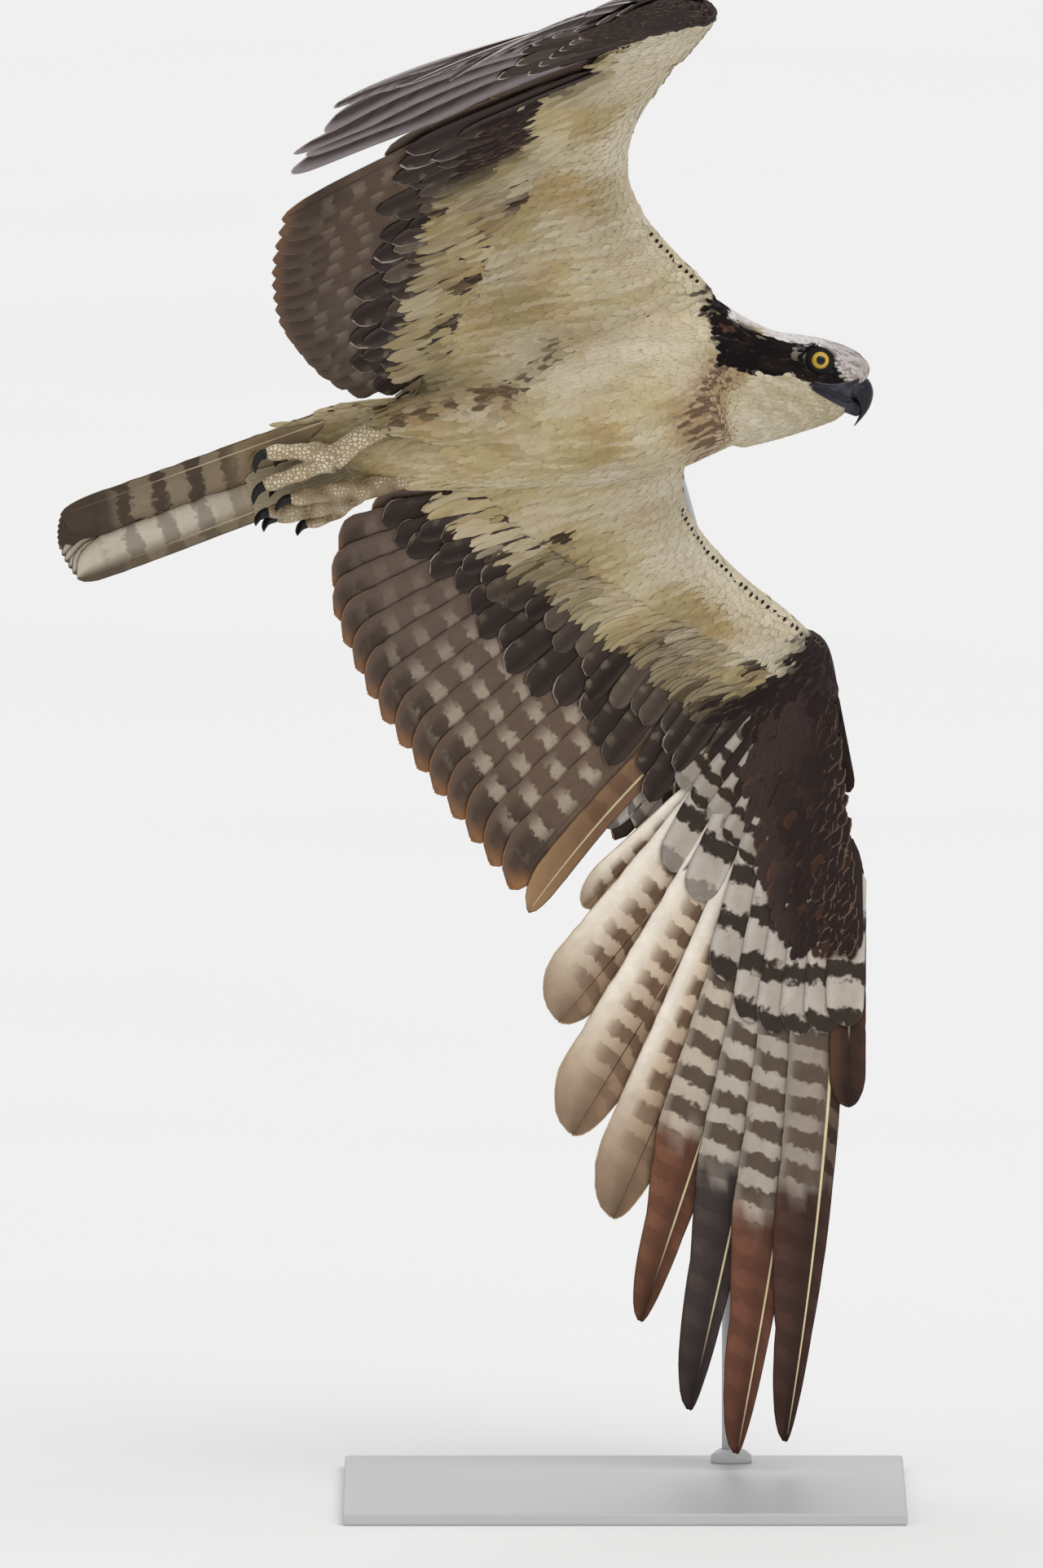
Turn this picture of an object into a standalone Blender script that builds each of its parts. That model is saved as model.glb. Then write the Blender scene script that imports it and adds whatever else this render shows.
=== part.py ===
"""An osprey banking to its left in flight, life size, held on a plain display stand.

Each bird piece is modelled in the bird's own frame, in metres: +X to the bill, +Y to the left
wing, +Z to the back, with the origin midway between the shoulders. An empty then turns the whole
bird into its bank above the stand, whose underside is the ground at z = 0.
"""

import math

import bmesh
import bpy
import numpy as np
from mathutils import Euler, Matrix, Vector

MM = 0.001
GAP = 0.3 * MM

# The pose: how the bird is turned above its stand, in degrees, and where its shoulders are
HEADING, CLIMB, BANK = 0.6, 14.0, 48.6
SHOULDERS_AT = Vector((20, -90, 728)) * MM
HEAD_HEADING, HEAD_PITCH, HEAD_ROLL = -1.4, -17.0, -4.5
HEAD_FROM_SHOULDERS = Vector((93.3, 0.4, 2.4)) * MM

# The torso: distance ahead of the shoulders, half width, rise of the back, depth of the belly
TORSO = (
    (-206, 17, 10, 16),
    (-192, 24, 14, 24),
    (-170, 31, 19, 31),
    (-140, 40, 28, 41),
    (-112, 47, 36, 50),
    (-80, 54, 43, 58),
    (-45, 60, 49, 64),
    (-8, 62, 53, 66.5),
    (30, 55, 48, 61),
)
TORSO_SIDES = 18
HEAD_SIDES = 18
BILL_SIDES = 14

# The head, in its own frame: distance ahead of its middle, half width, crown height, throat depth
HEAD = (
    (-22, 29, 19.5, 60),
    (-8, 27.5, 22, 52),
    (6, 25, 24, 43),
    (16, 22, 23.2, 36),
    (25, 18, 20.8, 29.5),
    (31, 14.5, 17.8, 24.5),
    (34.6, 11.5, 14.6, 18.5),
)
EYE_AT = Vector((8.5, 17.6, 8.8)) * MM
EYE_RADIUS = 7.6 * MM
LID_RADIUS, LID_THICKNESS = 7.3 * MM, 1.3 * MM

# The bill: where its upper half starts, and its culmen as distance ahead, height, depth, half width
BILL_UPPER = (
    (35, 0.6, 8.6, 9.4),
    (38.5, 0.2, 8.4, 8.4),
    (42, -2.4, 7.6, 6.8),
    (44.6, -7.0, 6.2, 5.0),
    (45.2, -13.2, 4.4, 3.4),
    (43.6, -19.2, 2.8, 2.1),
    (41.6, -24.4, 1.0, 0.8),
)
BILL_LOWER = (
    (35, -13.2, 5.0, 7.6),
    (38, -14.0, 4.4, 6.2),
    (40.8, -15.0, 3.4, 4.4),
    (42.4, -15.8, 2.2, 2.4),
)

# A wing, from its own side's shoulder outwards, in millimetres
LEFT_WING = {
    "front": ((50, 36), (67, 24), (92, 6), (131, 0), (172, 8), (215, 26), (262, 52), (300, 65)),
    "rear_height": ((72, -12), (180, -46), (352, -96)),
    "secondary_tips": ((74, -224), (110, -237), (174, -229), (200, -222), (280, -193), (352, -164)),
    "wrist": (64, 296, 8),
    "longest_primary": (-88, 633, -330),
    "inmost_primary": (-161, 416, -136),
    "parting": (-140, 372, -84),
    "hand_bow": 4,
    "fan": 0.02,
    "short_primary": ((30, 12), (172, 146), 12, 14, (0.88, 0.9)),
    "wrist_feathers": (((286, 20), (334, -106)), ((296, 30), (350, -84)), ((304, 40), (356, -52))),
}
RIGHT_WING = {
    "front": ((50, 51), (67, 47), (92, 35), (131, 20), (172, 16), (215, 29), (262, 62), (300, 90)),
    "rear_height": ((72, -12), (172, -40), (290, -72)),
    "secondary_tips": ((74, -194), (100, -208), (130, -217), (172, -224), (235, -219), (290, -205)),
    "wrist": (92, 303, 1),
    "longest_primary": (-77, 637, -334),
    "inmost_primary": (-177, 394, -143),
    "parting": (-200, 320, -76),
    "hand_bow": 16,
    "fan": 0.21,
    "short_primary": ((30, 14), (198, 172), 14, 40, (0.88, 0.9)),
    "wrist_feathers": (((284, 20), (300, -132)), ((294, 30), (316, -100)), ((302, 40), (324, -60))),
}
ELBOW_RISE = 12
UP_AT_WRIST, WRIST_BLOCK = Vector((-0.26, 0.43, 0.85)), 700
SECONDARIES, COVERTS = 15, 11
LINING_END = ((67, -150), (90, -142), (130, -118), (175, -86), (220, -52), (262, -18), (296, 8))
COVERT_TIPS = ((74, -182), (90, -176), (124, -163), (152, -147), (194, -128), (238, -106), (290, -76))

# The primaries from the inmost to the short outermost one, still growing: root and tip as
# distances out along the hand and back across it from the wrist, vane widths, and where the
# inner vane narrows and to what share; the four that narrow most end as fingers
PRIMARIES = (
    ((40, 8), (247, 156), 15, 31, (0.88, 0.9)),
    ((52, 5), (319, 143), 14, 31, (0.88, 0.9)),
    ((64, 2), (371, 114), 13, 28, (0.88, 0.88)),
    ((77, -1), (436, 92), 12, 31, (0.66, 0.66)),
    ((90, -5), (491, 57), 10, 32, (0.60, 0.69)),
    ((103, -9), (517, 26), 9, 31, (0.62, 0.71)),
    ((116, -14), (507, -4), 8, 28, (0.66, 0.71)),
    ((127, -21), (290, -31), 11, 13, (0.88, 0.95)),
)
FINGER_SHARE, FINGER_TIP_FROM, OUTER_NARROWS_TO = 0.8, 0.7, 0.8
HAND_SECTIONS = (
    (-4, -4, 36, 10),
    (26, -9, 48, 9.5),
    (58, -13.5, 42, 8),
    (92, -18, 26, 6.6),
    (124, -22, 9, 5.2),
    (148, -25, -10, 3.6),
)
PRIMARY_BOWS = {5: 4, 6: 8}
FAN_WIDTH, TIP_LIFT = 156, 14
ALULA = (((4, 0), (84, -4)), ((8, -3), (98, -12)), ((12, -6), (88, -19)))

# The tail: its twelve feathers lie nearly side by side, swung a little to the right
TAIL_ROOT, TAIL_TIP = Vector((-196, 0, -4)) * MM, Vector((-396, 0, -31)) * MM
TAIL_FEATHERS, TAIL_ROOT_SPREAD, TAIL_TIP_SPREAD = 12, 30, 33
TAIL_ROOT_OFF, TAIL_TIP_OFF = -15, -11.5
TAIL_BASE = ((-34, 22, 6, 8), (-6, 31, 7.5, 9), (12, 34, 7, 7.5), (34, 34, 6, 6), (58, 30, 4.5, 4.5))

# The legs: points of the thigh with its radii, then the bare leg's joints down to the palm, and
# each toe's joints with the point its claw curves to, in millimetres and mirrored for the right
LEFT_LEG = {
    "thigh": ((-78, 14, -14), (-108, 17, -17), (-140, 17, -18), (-174, 12, -20)),
    "shank": ((-164, 13, -21), (-190, 10, -27), (-208, 4, -32)),
    "toes": (
        ((-206, 8, -33), (-234, 8, -36), (-258, 4, -38)),
        ((-208, 2, -33), (-236, -1, -40), (-262, -5, -41)),
        ((-206, -2, -33), (-226, -10, -42), (-246, -14, -43)),
        ((-204, 8, -32), (-222, 18, -33), (-240, 22, -32)),
    ),
    "claw_ends": ((-267, 1, -51), (-271, -8, -53), (-256, -17, -54), (-247, 20, -43)),
}
RIGHT_LEG = {
    "thigh": ((-78, 22, -20), (-108, 32, -27), (-140, 38, -28), (-174, 41, -22)),
    "shank": ((-164, 41, -23), (-192, 35, -26), (-214, 27, -31)),
    "toes": (
        ((-212, 29, -31), (-234, 40, -29), (-254, 45, -29)),
        ((-216, 27, -32), (-240, 28, -37), (-260, 26, -38)),
        ((-214, 24, -31), (-232, 20, -27), (-248, 14, -26)),
        ((-210, 30, -30), (-226, 33, -24), (-242, 34, -23)),
    ),
    "claw_ends": ((-263, 43, -42), (-269, 24, -50), (-258, 13, -36), (-250, 32, -30)),
}
THIGH_RADII = (15, 20.5, 17.5, 11.5)
SHANK_RADII, TOE_RADII, CLAW_RADII = (7.4, 7.0, 8.2), (6.2, 5.2, 4.9), (3.3, 3.4, 2.6, 1.7, 0.4)

# The stand: a square plate and a bent rod that goes up behind the left wing into the back
BASE_SIZE, BASE_THICKNESS = (360 * MM, 400 * MM), 8 * MM
ROD_RADIUS = 6 * MM
ROD = (
    (69, 150, 8.3),
    (69, 150, 240),
    (69, 150, 460),
    (58, 150, 545),
    (26, 60, 672),
    (12, -50, 714),
)


COLOURS = {
    "head": ((0.62, 0.58, 0.50), 0.8, 0.0),
    "neck": ((0.52, 0.46, 0.37), 0.8, 0.0),
    "torso": ((0.60, 0.55, 0.42), 0.8, 0.0),
    "tail": ((0.22, 0.18, 0.12), 0.75, 0.0),
    "wing": ((0.20, 0.15, 0.10), 0.75, 0.0),
    "bill": ((0.02, 0.02, 0.025), 0.35, 0.0),
    "eye": ((0.72, 0.50, 0.05), 0.1, 0.0),
    "foot": ((0.40, 0.37, 0.30), 0.6, 0.0),
    "claw": ((0.015, 0.014, 0.014), 0.3, 0.0),
    "stand": ((0.62, 0.62, 0.60), 0.45, 0.0),
}


def material(name, colour, roughness=0.8, metallic=0.0):
    made = bpy.data.materials.new(name)
    made.use_nodes = True
    shader = made.node_tree.nodes["Principled BSDF"]
    shader.inputs["Base Color"].default_value = (*colour, 1)
    shader.inputs["Roughness"].default_value = roughness
    shader.inputs["Metallic"].default_value = metallic
    return made


def clear_scene():
    for obj in list(bpy.data.objects):
        bpy.data.objects.remove(obj)


def collection_named(name):
    made = bpy.data.collections.new(name)
    bpy.context.scene.collection.children.link(made)
    return made


def mesh_object(name, points, faces, where):
    mesh = bpy.data.meshes.new(name)
    mesh.from_pydata([tuple(p) for p in points], [], faces)
    mesh.validate()
    obj = bpy.data.objects.new(name, mesh)
    where.objects.link(obj)
    return obj


def loft(name, rings, where):
    """A closed body through rings of equally many points, capped flat at both ends."""
    sides = len(rings[0])
    points = [p for ring in rings for p in ring]
    faces = []
    for low in range(0, (len(rings) - 1) * sides, sides):
        for i in range(sides):
            j = (i + 1) % sides
            faces.append((low + i, low + j, low + sides + j, low + sides + i))
    faces.append(tuple(range(sides))[::-1])
    faces.append(tuple(range(len(points) - sides, len(points))))
    obj = mesh_object(name, points, faces, where)
    face_outwards(obj)
    return obj


def face_outwards(obj):
    shape = bmesh.new()
    shape.from_mesh(obj.data)
    bmesh.ops.recalc_face_normals(shape, faces=shape.faces)
    bmesh.ops.triangulate(shape, faces=shape.faces)
    if shape.calc_volume(signed=True) < 0:
        bmesh.ops.reverse_faces(shape, faces=shape.faces)
    shape.to_mesh(obj.data)
    shape.free()


def tube(name, points, radii, where, resolution=2, radius=None):
    """A round tapering rod, as a curve with filled caps made into a welded mesh."""
    if radii is None:
        radii = [radius] * len(points)
    curve = bpy.data.curves.new(name, "CURVE")
    curve.dimensions = "3D"
    curve.bevel_depth = 1.0
    curve.bevel_resolution = resolution
    curve.use_fill_caps = True
    spline = curve.splines.new("POLY")
    spline.points.add(len(points) - 1)
    for knot, point, radius in zip(spline.points, points, radii):
        knot.co = (*point, 1)
        knot.radius = radius
    drawn = bpy.data.objects.new(name + "_curve", curve)
    bpy.context.scene.collection.objects.link(drawn)
    bpy.context.view_layer.update()
    mesh = bpy.data.meshes.new_from_object(drawn.evaluated_get(bpy.context.evaluated_depsgraph_get()))
    bpy.data.objects.remove(drawn)
    obj = bpy.data.objects.new(name, mesh)
    where.objects.link(obj)
    shape = bmesh.new()
    shape.from_mesh(mesh)
    bmesh.ops.remove_doubles(shape, verts=shape.verts, dist=1e-6)
    shape.to_mesh(mesh)
    shape.free()
    face_outwards(obj)
    return obj


def boolean(obj, other, operation, solver="EXACT"):
    """Applies one Boolean of a collection or an object to obj, and removes what it used."""
    modifier = obj.modifiers.new("boolean", "BOOLEAN")
    modifier.operation = operation
    modifier.solver = solver
    if isinstance(other, bpy.types.Collection):
        modifier.operand_type = "COLLECTION"
        modifier.collection = other
        used = list(other.objects)
    else:
        modifier.object = other
        used = [other]
    bpy.context.view_layer.update()
    graph = bpy.context.evaluated_depsgraph_get()
    mesh = bpy.data.meshes.new_from_object(obj.evaluated_get(graph))
    obj.modifiers.clear()
    obj.data = mesh
    for piece in used:
        bpy.data.objects.remove(piece)


def keep_largest(obj):
    """Drops every closed surface but the largest, such as the walls of a sealed hollow."""
    shape = bmesh.new()
    shape.from_mesh(obj.data)
    bmesh.ops.remove_doubles(shape, verts=shape.verts, dist=1e-7)
    bmesh.ops.triangulate(shape, faces=shape.faces)
    left, groups = set(shape.faces), []
    while left:
        stack, group = [left.pop()], []
        while stack:
            face = stack.pop()
            group.append(face)
            for edge in face.edges:
                for near in edge.link_faces:
                    if near in left:
                        left.discard(near)
                        stack.append(near)
        groups.append(group)
    groups.sort(key=len, reverse=True)
    for group in groups[1:]:
        bmesh.ops.delete(shape, geom=group, context="FACES")
    loose = [v for v in shape.verts if not v.link_faces]
    bmesh.ops.delete(shape, geom=loose, context="VERTS")
    shape.to_mesh(obj.data)
    shape.free()


def fuse(obj, pieces, solver="MANIFOLD"):
    boolean(obj, pieces, "UNION", solver)
    keep_largest(obj)
    return obj


def smooth_through(knots):
    """A smooth function through (x, y) knots: cubic, with slopes from the neighbouring knots."""
    xs = [k[0] for k in knots]
    ys = [k[1] for k in knots]
    slopes = []
    for i in range(len(knots)):
        low, high = max(i - 1, 0), min(i + 1, len(knots) - 1)
        slopes.append((ys[high] - ys[low]) / (xs[high] - xs[low]))

    def value(x):
        if x <= xs[0]:
            return ys[0] + slopes[0] * (x - xs[0])
        if x >= xs[-1]:
            return ys[-1] + slopes[-1] * (x - xs[-1])
        i = max(k for k in range(len(xs) - 1) if xs[k] <= x)
        span = xs[i + 1] - xs[i]
        t = (x - xs[i]) / span
        return (
            (2 * t**3 - 3 * t**2 + 1) * ys[i]
            + (t**3 - 2 * t**2 + t) * span * slopes[i]
            + (3 * t**2 - 2 * t**3) * ys[i + 1]
            + (t**3 - t**2) * span * slopes[i + 1]
        )

    return value


def oval(half_width, above, below, sides, squareness=1.0):
    """A ring across the body, from the top round by the left side, as (side, height) pairs."""
    ring = []
    for i in range(sides):
        turn = 2 * math.pi * i / sides
        side = math.sin(turn)
        height = math.cos(turn)
        side = math.copysign(abs(side) ** squareness, side)
        ring.append((half_width * side, (above if height > 0 else below) * height))
    return ring


# The feathers

def vane_width(t, narrow_from, narrow_to, tip_from=0.86):
    """Share of its full width that a vane has at t of its length, from quill to tip."""
    if t < 0.16:
        return 0.14 + 0.86 * (t / 0.16) ** 1.2
    end = max(0.0, t - tip_from) / (1 - tip_from)
    narrow = 1.0 - (1.0 - narrow_to) * min(1.0, max(0.0, t - narrow_from) / 0.16)
    return narrow * math.sqrt(max(0.0, 1.0 - 0.96 * end**2))


def feather(name, place, root, tip, outer, inner, where, inward, level=0.0, tilt=0.06, bow=0.0,
            stations=(0, 0.1, 0.2, 0.45, 0.7, 0.86, 0.95, 1), narrow=(0.9, 1.0), ridge=0.5,
            sink=0.0, tip_from=0.86):
    """One vane as a thin closed plate: place(a, b, up) gives the point a out and b back on its wing.

    It runs from root to tip, its outer edge up and its inner edge, on the side of inward, down
    by tilt, so that each lies clear over the next like a slat. sink moves the quill into what it
    grows from.
    """
    root, tip = np.array(root, float), np.array(tip, float)
    along = tip - root
    across = np.array([-along[1], along[0]]) / np.hypot(*along)
    turn = 1.0 if np.dot(across, inward) > 0 else -1.0
    across = across * turn
    rings = []
    half = 0.28
    for t in stations:
        middle = root + along * t - across * bow * 4 * t * (1 - t)
        slope = along - across * bow * 4 * (1 - 2 * t)
        side = np.array([-slope[1], slope[0]]) / np.hypot(*slope) * turn
        outer_narrow = (narrow[0], max(narrow[1], OUTER_NARROWS_TO))
        up = level + sink * max(0.0, 1 - t / 0.16)
        edge_out = outer * vane_width(t, *outer_narrow, tip_from)
        edge_in = inner * vane_width(t, *narrow, tip_from)
        quill = ridge * (1.6 if t < 0.16 else 1.0 - 0.55 * t)
        out_at, in_at = middle - side * edge_out, middle + side * edge_in
        rings.append((
            place(*out_at, up + tilt * edge_out + half),
            place(*middle, up + quill),
            place(*in_at, up - tilt * edge_in + half),
            place(*in_at, up - tilt * edge_in - half),
            place(*middle, up - quill),
            place(*out_at, up + tilt * edge_out - half),
        ))
    return loft_thin(name, rings, where)


def loft_thin(name, rings, where):
    """A vane's body, its quads split alike on the upper and the lower face so that they never cross."""
    sides = 6
    points = [p for ring in rings for p in ring]
    faces = []
    for low in range(0, (len(rings) - 1) * sides, sides):
        high = low + sides
        for i, j in ((0, 1), (1, 2)):
            faces.append((low + i, low + j, high + j))
            faces.append((low + i, high + j, high + i))
        for i, j in ((4, 5), (3, 4)):
            faces.append((low + i, low + j, high + i))
            faces.append((low + j, high + j, high + i))
        for i, j in ((2, 3), (5, 0)):
            faces.append((low + i, low + j, high + j))
            faces.append((low + i, high + j, high + i))
    faces.append((0, 5, 4))
    faces.append((0, 4, 1))
    faces.append((1, 4, 3))
    faces.append((1, 3, 2))
    end = len(points) - sides
    faces.append((end, end + 4, end + 5))
    faces.append((end, end + 1, end + 4))
    faces.append((end + 1, end + 3, end + 4))
    faces.append((end + 1, end + 2, end + 3))
    obj = mesh_object(name, points, faces, where)
    face_outwards(obj)
    return obj


# The flesh of head, neck and torso

def torso_ring(station, spare=0.0):
    ahead, half_width, above, below = station
    ring = oval(half_width + spare, above + spare, below + spare, TORSO_SIDES)
    return [Vector((ahead, y, z)) * MM for y, z in ring]


def torso_body(name, where, spare=0.0):
    """The torso with its thighs, or a copy of it grown by spare millimetres to cut with."""
    rings = [torso_ring(s, spare) for s in TORSO]
    if spare:
        rings[0] = [p - Vector((spare, 0, 0)) * MM for p in rings[0]]
        rings[-1] = [p + Vector((spare, 0, 0)) * MM for p in rings[-1]]
    body = loft(name, rings, where)
    thighs = bpy.data.collections.new(name + " thighs")
    bpy.context.scene.collection.children.link(thighs)
    for side, leg in ((1, LEFT_LEG), (-1, RIGHT_LEG)):
        points = [Vector((x, side * y, z)) * MM for x, y, z in leg["thigh"]]
        if spare:
            points[-1] += (points[-1] - points[-2]).normalized() * spare * MM
        tube("thigh", points, [(r + spare) * MM for r in THIGH_RADII], thighs, 3)
    fuse(body, thighs)
    bpy.data.collections.remove(thighs)
    return body


def head_matrix():
    """Carries the head's frame into the bird's: the head is level while the body banks."""
    body = pose_matrix().to_3x3()
    head = Euler([math.radians(a) for a in (HEAD_ROLL, -HEAD_PITCH, HEAD_HEADING)]).to_matrix()
    turned = (body.inverted() @ head).to_4x4()
    return Matrix.Translation(body.inverted() @ HEAD_FROM_SHOULDERS) @ turned


def pose_matrix():
    turned = Euler((math.radians(-BANK), math.radians(-CLIMB), math.radians(HEADING))).to_matrix()
    return Matrix.Translation(SHOULDERS_AT) @ turned.to_4x4()


def head_ring(station, frame):
    ahead, half_width, above, below = station
    ring = oval(half_width, above, below, HEAD_SIDES, 0.92)
    return [frame @ (Vector((ahead, y, z)) * MM) for y, z in ring]


def neck_body(name, frame, where, spare=0.0):
    """A loft that turns from the torso's last ring into the head's first, grown by spare."""
    forwards = Vector((1, 0, 0))
    towards = frame.to_3x3() @ forwards
    start = [p + forwards * (GAP - spare * MM) for p in torso_ring(TORSO[-1])]
    finish = [p - towards * GAP for p in head_ring(HEAD[0], frame)]
    span = (sum(finish, Vector()) - sum(start, Vector())).length / len(start)
    rings = []
    steps = 5
    for k in range(steps + 1):
        t = k / steps
        ring = []
        for a, b in zip(start, finish):
            ring.append(
                (2 * t**3 - 3 * t**2 + 1) * a
                + (t**3 - 2 * t**2 + t) * span * forwards
                + (3 * t**2 - 2 * t**3) * b
                + (t**3 - t**2) * span * towards
            )
        middle = sum(ring, Vector()) / len(ring)
        rings.append([p + (p - middle).normalized() * spare * MM for p in ring])
    return loft(name, rings, where)


def clear_of_body(obj, frame, cutters):
    """Cuts obj back to a small gap from the torso, the thighs and the neck."""
    boolean(obj, torso_body("body_room", cutters, 0.3), "DIFFERENCE", "MANIFOLD")
    boolean(obj, neck_body("neck_room", frame, cutters, 0.3), "DIFFERENCE", "MANIFOLD")
    keep_largest(obj)


def ball(name, centre, radius, where, segments=14, rings=9):
    mesh = bpy.data.meshes.new(name)
    shape = bmesh.new()
    bmesh.ops.create_uvsphere(shape, u_segments=segments, v_segments=rings, radius=radius)
    shape.to_mesh(mesh)
    shape.free()
    mesh.transform(Matrix.Translation(centre))
    obj = bpy.data.objects.new(name, mesh)
    where.objects.link(obj)
    return obj


def build_head(frame, where, pieces, cutters):
    rings = [head_ring(s, frame) for s in HEAD]
    head = loft("head", rings, where)
    for sign in (1, -1):
        eye_at = Vector((EYE_AT.x, sign * EYE_AT.y, EYE_AT.z))
        # The lids stand round the eye as a low ring
        turns = 16
        outwards = Vector((0.28, sign, 0.05)).normalized()
        upright = outwards.cross(Vector((1, 0, 0))).normalized()
        flat = upright.cross(outwards)
        loop = []
        for k in range(turns + 1):
            turn = 2 * math.pi * k / turns
            offset = LID_RADIUS * (math.cos(turn) * flat + 0.94 * math.sin(turn) * upright)
            loop.append(eye_at + outwards * 3.4 * MM + offset)
        tube_ring("lid", loop[:-1], LID_THICKNESS, pieces, frame)
        brow = [eye_at + Vector((x, sign * y, z)) * MM for x, y, z in ((-11, 2.0, 9.0), (-3, 3.6, 9.6), (5, 3.2, 8.4), (12, 0.4, 5.4))]
        tube("brow", [frame @ p for p in brow], [1.2 * MM, 2.4 * MM, 2.4 * MM, 1.2 * MM], pieces)
    fuse(head, pieces)
    for sign, side in ((1, "left"), (-1, "right")):
        centre = frame @ Vector((EYE_AT.x, sign * EYE_AT.y, EYE_AT.z))
        boolean(head, ball("socket", centre, EYE_RADIUS + GAP, cutters), "DIFFERENCE", "MANIFOLD")
        ball("eye_" + side, centre, EYE_RADIUS, where)
        # The line of the mouth runs back from the bill below the eye
        gape = [Vector((x, sign * y, z)) * MM for x, y, z in ((8, 25.2, -7.4), (20, 19.6, -7.8), (34, 12.5, -8.6))]
        boolean(head, tube("gape", [frame @ p for p in gape], [0.9 * MM] * 3, cutters), "DIFFERENCE", "MANIFOLD")
    keep_largest(head)


def tube_ring(name, loop, radius, where, frame, sides=6):
    """A closed ring of round section through the points of loop."""
    points, faces = [], []
    count = len(loop)
    centre = sum(loop, Vector()) / count
    normal = (loop[0] - centre).cross(loop[count // 4] - centre).normalized()
    for p in loop:
        out = (p - centre).normalized()
        for k in range(sides):
            turn = 2 * math.pi * k / sides
            points.append(frame @ (p + radius * (math.cos(turn) * out + math.sin(turn) * normal)))
    for i in range(count):
        for k in range(sides):
            a, b = i * sides + k, i * sides + (k + 1) % sides
            c, d = ((i + 1) % count) * sides + (k + 1) % sides, ((i + 1) % count) * sides + k
            faces.append((a, b, c, d))
    obj = mesh_object(name, points, faces, where)
    face_outwards(obj)
    return obj


def bill_upper_rings(frame, spare=0.0):
    rings = []
    for k, (ahead, high, below, half_width) in enumerate(BILL_UPPER):
        lean = math.radians(min(k, 5) * 17)
        ring = []
        for y, z in oval(half_width + spare, 0.8 * below + spare, below + spare, BILL_SIDES, 0.95):
            forward = ahead + (z + 1) * math.sin(lean) * 0.5
            ring.append(frame @ (Vector((forward, y, high + z * math.cos(lean * 0.8))) * MM))
        rings.append(ring)
    return rings


def build_bill(frame, where, cutters):
    """The hooked upper half with its nostrils, and the short lower half under it."""
    top = loft("bill_upper", bill_upper_rings(frame), where)
    lower = []
    for ahead, middle, half_height, half_width in BILL_LOWER:
        ring = oval(half_width, half_height, half_height, BILL_SIDES)
        lower.append([frame @ (Vector((ahead, y, middle + z)) * MM) for y, z in ring])
    under = loft("bill_lower", lower, where)
    cutter = loft("bill_room", bill_upper_rings(frame, 0.35), cutters)
    boolean(under, cutter, "DIFFERENCE", "MANIFOLD")
    keep_largest(under)
    for sign in (1, -1):
        nostril = ball("nostril", Vector((39.5, sign * 7.2, 2.2)) * MM, 1.4 * MM, cutters, 10, 6)
        nostril.data.transform(frame)
        boolean(top, nostril, "DIFFERENCE", "MANIFOLD")
    keep_largest(top)
    return top, under


# The wings

def wing_sheets(wing, side):
    """Two maps from a wing's own coordinates to the bird's frame, for its arm and for its hand."""
    front = smooth_through(wing["front"])
    rear = smooth_through(wing["secondary_tips"])
    rear_height = smooth_through(wing["rear_height"])
    wrist = Vector(wing["wrist"])
    front_height = smooth_through(((40, 0), (170, ELBOW_RISE), (wrist.y, wrist.z)))

    def arm(out, ahead, up):
        """out from the shoulder line, ahead of it, and up off the wing's middle, in millimetres."""
        reach = min(max(out, 40), 380)
        share = (front(min(reach, 300)) - ahead) / (front(min(reach, 300)) - rear(reach))
        rise = front_height(min(reach, wrist.y)) * (1 - share) + rear_height(reach) * share
        camber = 9 * 4 * share * (1 - share) if share < 1 else 0
        return Vector((ahead, side * out, rise + camber + up)) * MM

    outwards = (Vector(wing["longest_primary"]) - wrist).normalized()
    upwards = outwards.cross(Vector(wing["inmost_primary"]) - wrist).normalized()
    backwards = upwards.cross(outwards)
    if backwards.dot(Vector((-1, 0, 0))) < 0:
        backwards = -backwards
    if upwards.z < 0:
        upwards = -upwards

    def hand(out, back, up):
        """out along the hand, back across it, and up off it, in millimetres from the wrist."""
        reach = min(max(out / 505, 0), 1)
        curl = wing["hand_bow"] * 4 * reach * (1 - reach)
        back *= 1 + wing["fan"] * max(0, back / FAN_WIDTH) ** 2
        curl += TIP_LIFT * reach**2 * math.sin(math.pi * min(max(back / FAN_WIDTH, 0), 1))
        curl += 5 * math.sin(math.pi * min(max(back / 160, 0), 1))
        point = wrist + outwards * out + backwards * back + upwards * (up + curl)
        return Vector((point.x, side * point.y, point.z)) * MM

    return arm, hand, front, rear


def arm_ring(arm, front, end, out, thickness, rear_thickness, shift=0.0):
    """A wing section: round in front, thin behind, where the feathers grow out of it."""
    lead, back = front(out), end(out)
    shares = (0, 0.05, 0.16, 0.36, 0.62, 0.86, 1)
    ring = []
    for upper in (True, False):
        row = []
        for share in shares:
            full = math.sqrt(min(1.0, share / 0.22)) if share < 0.22 else 1 - (share - 0.22) / 0.78
            depth = thickness * full if share < 0.22 else rear_thickness + (thickness - rear_thickness) * full
            if share == 0:
                depth = 0
            row.append(arm(out + shift, lead + (back - lead) * share, depth if upper else -depth))
        ring += row if upper else row[:0:-1]
    return ring


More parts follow.
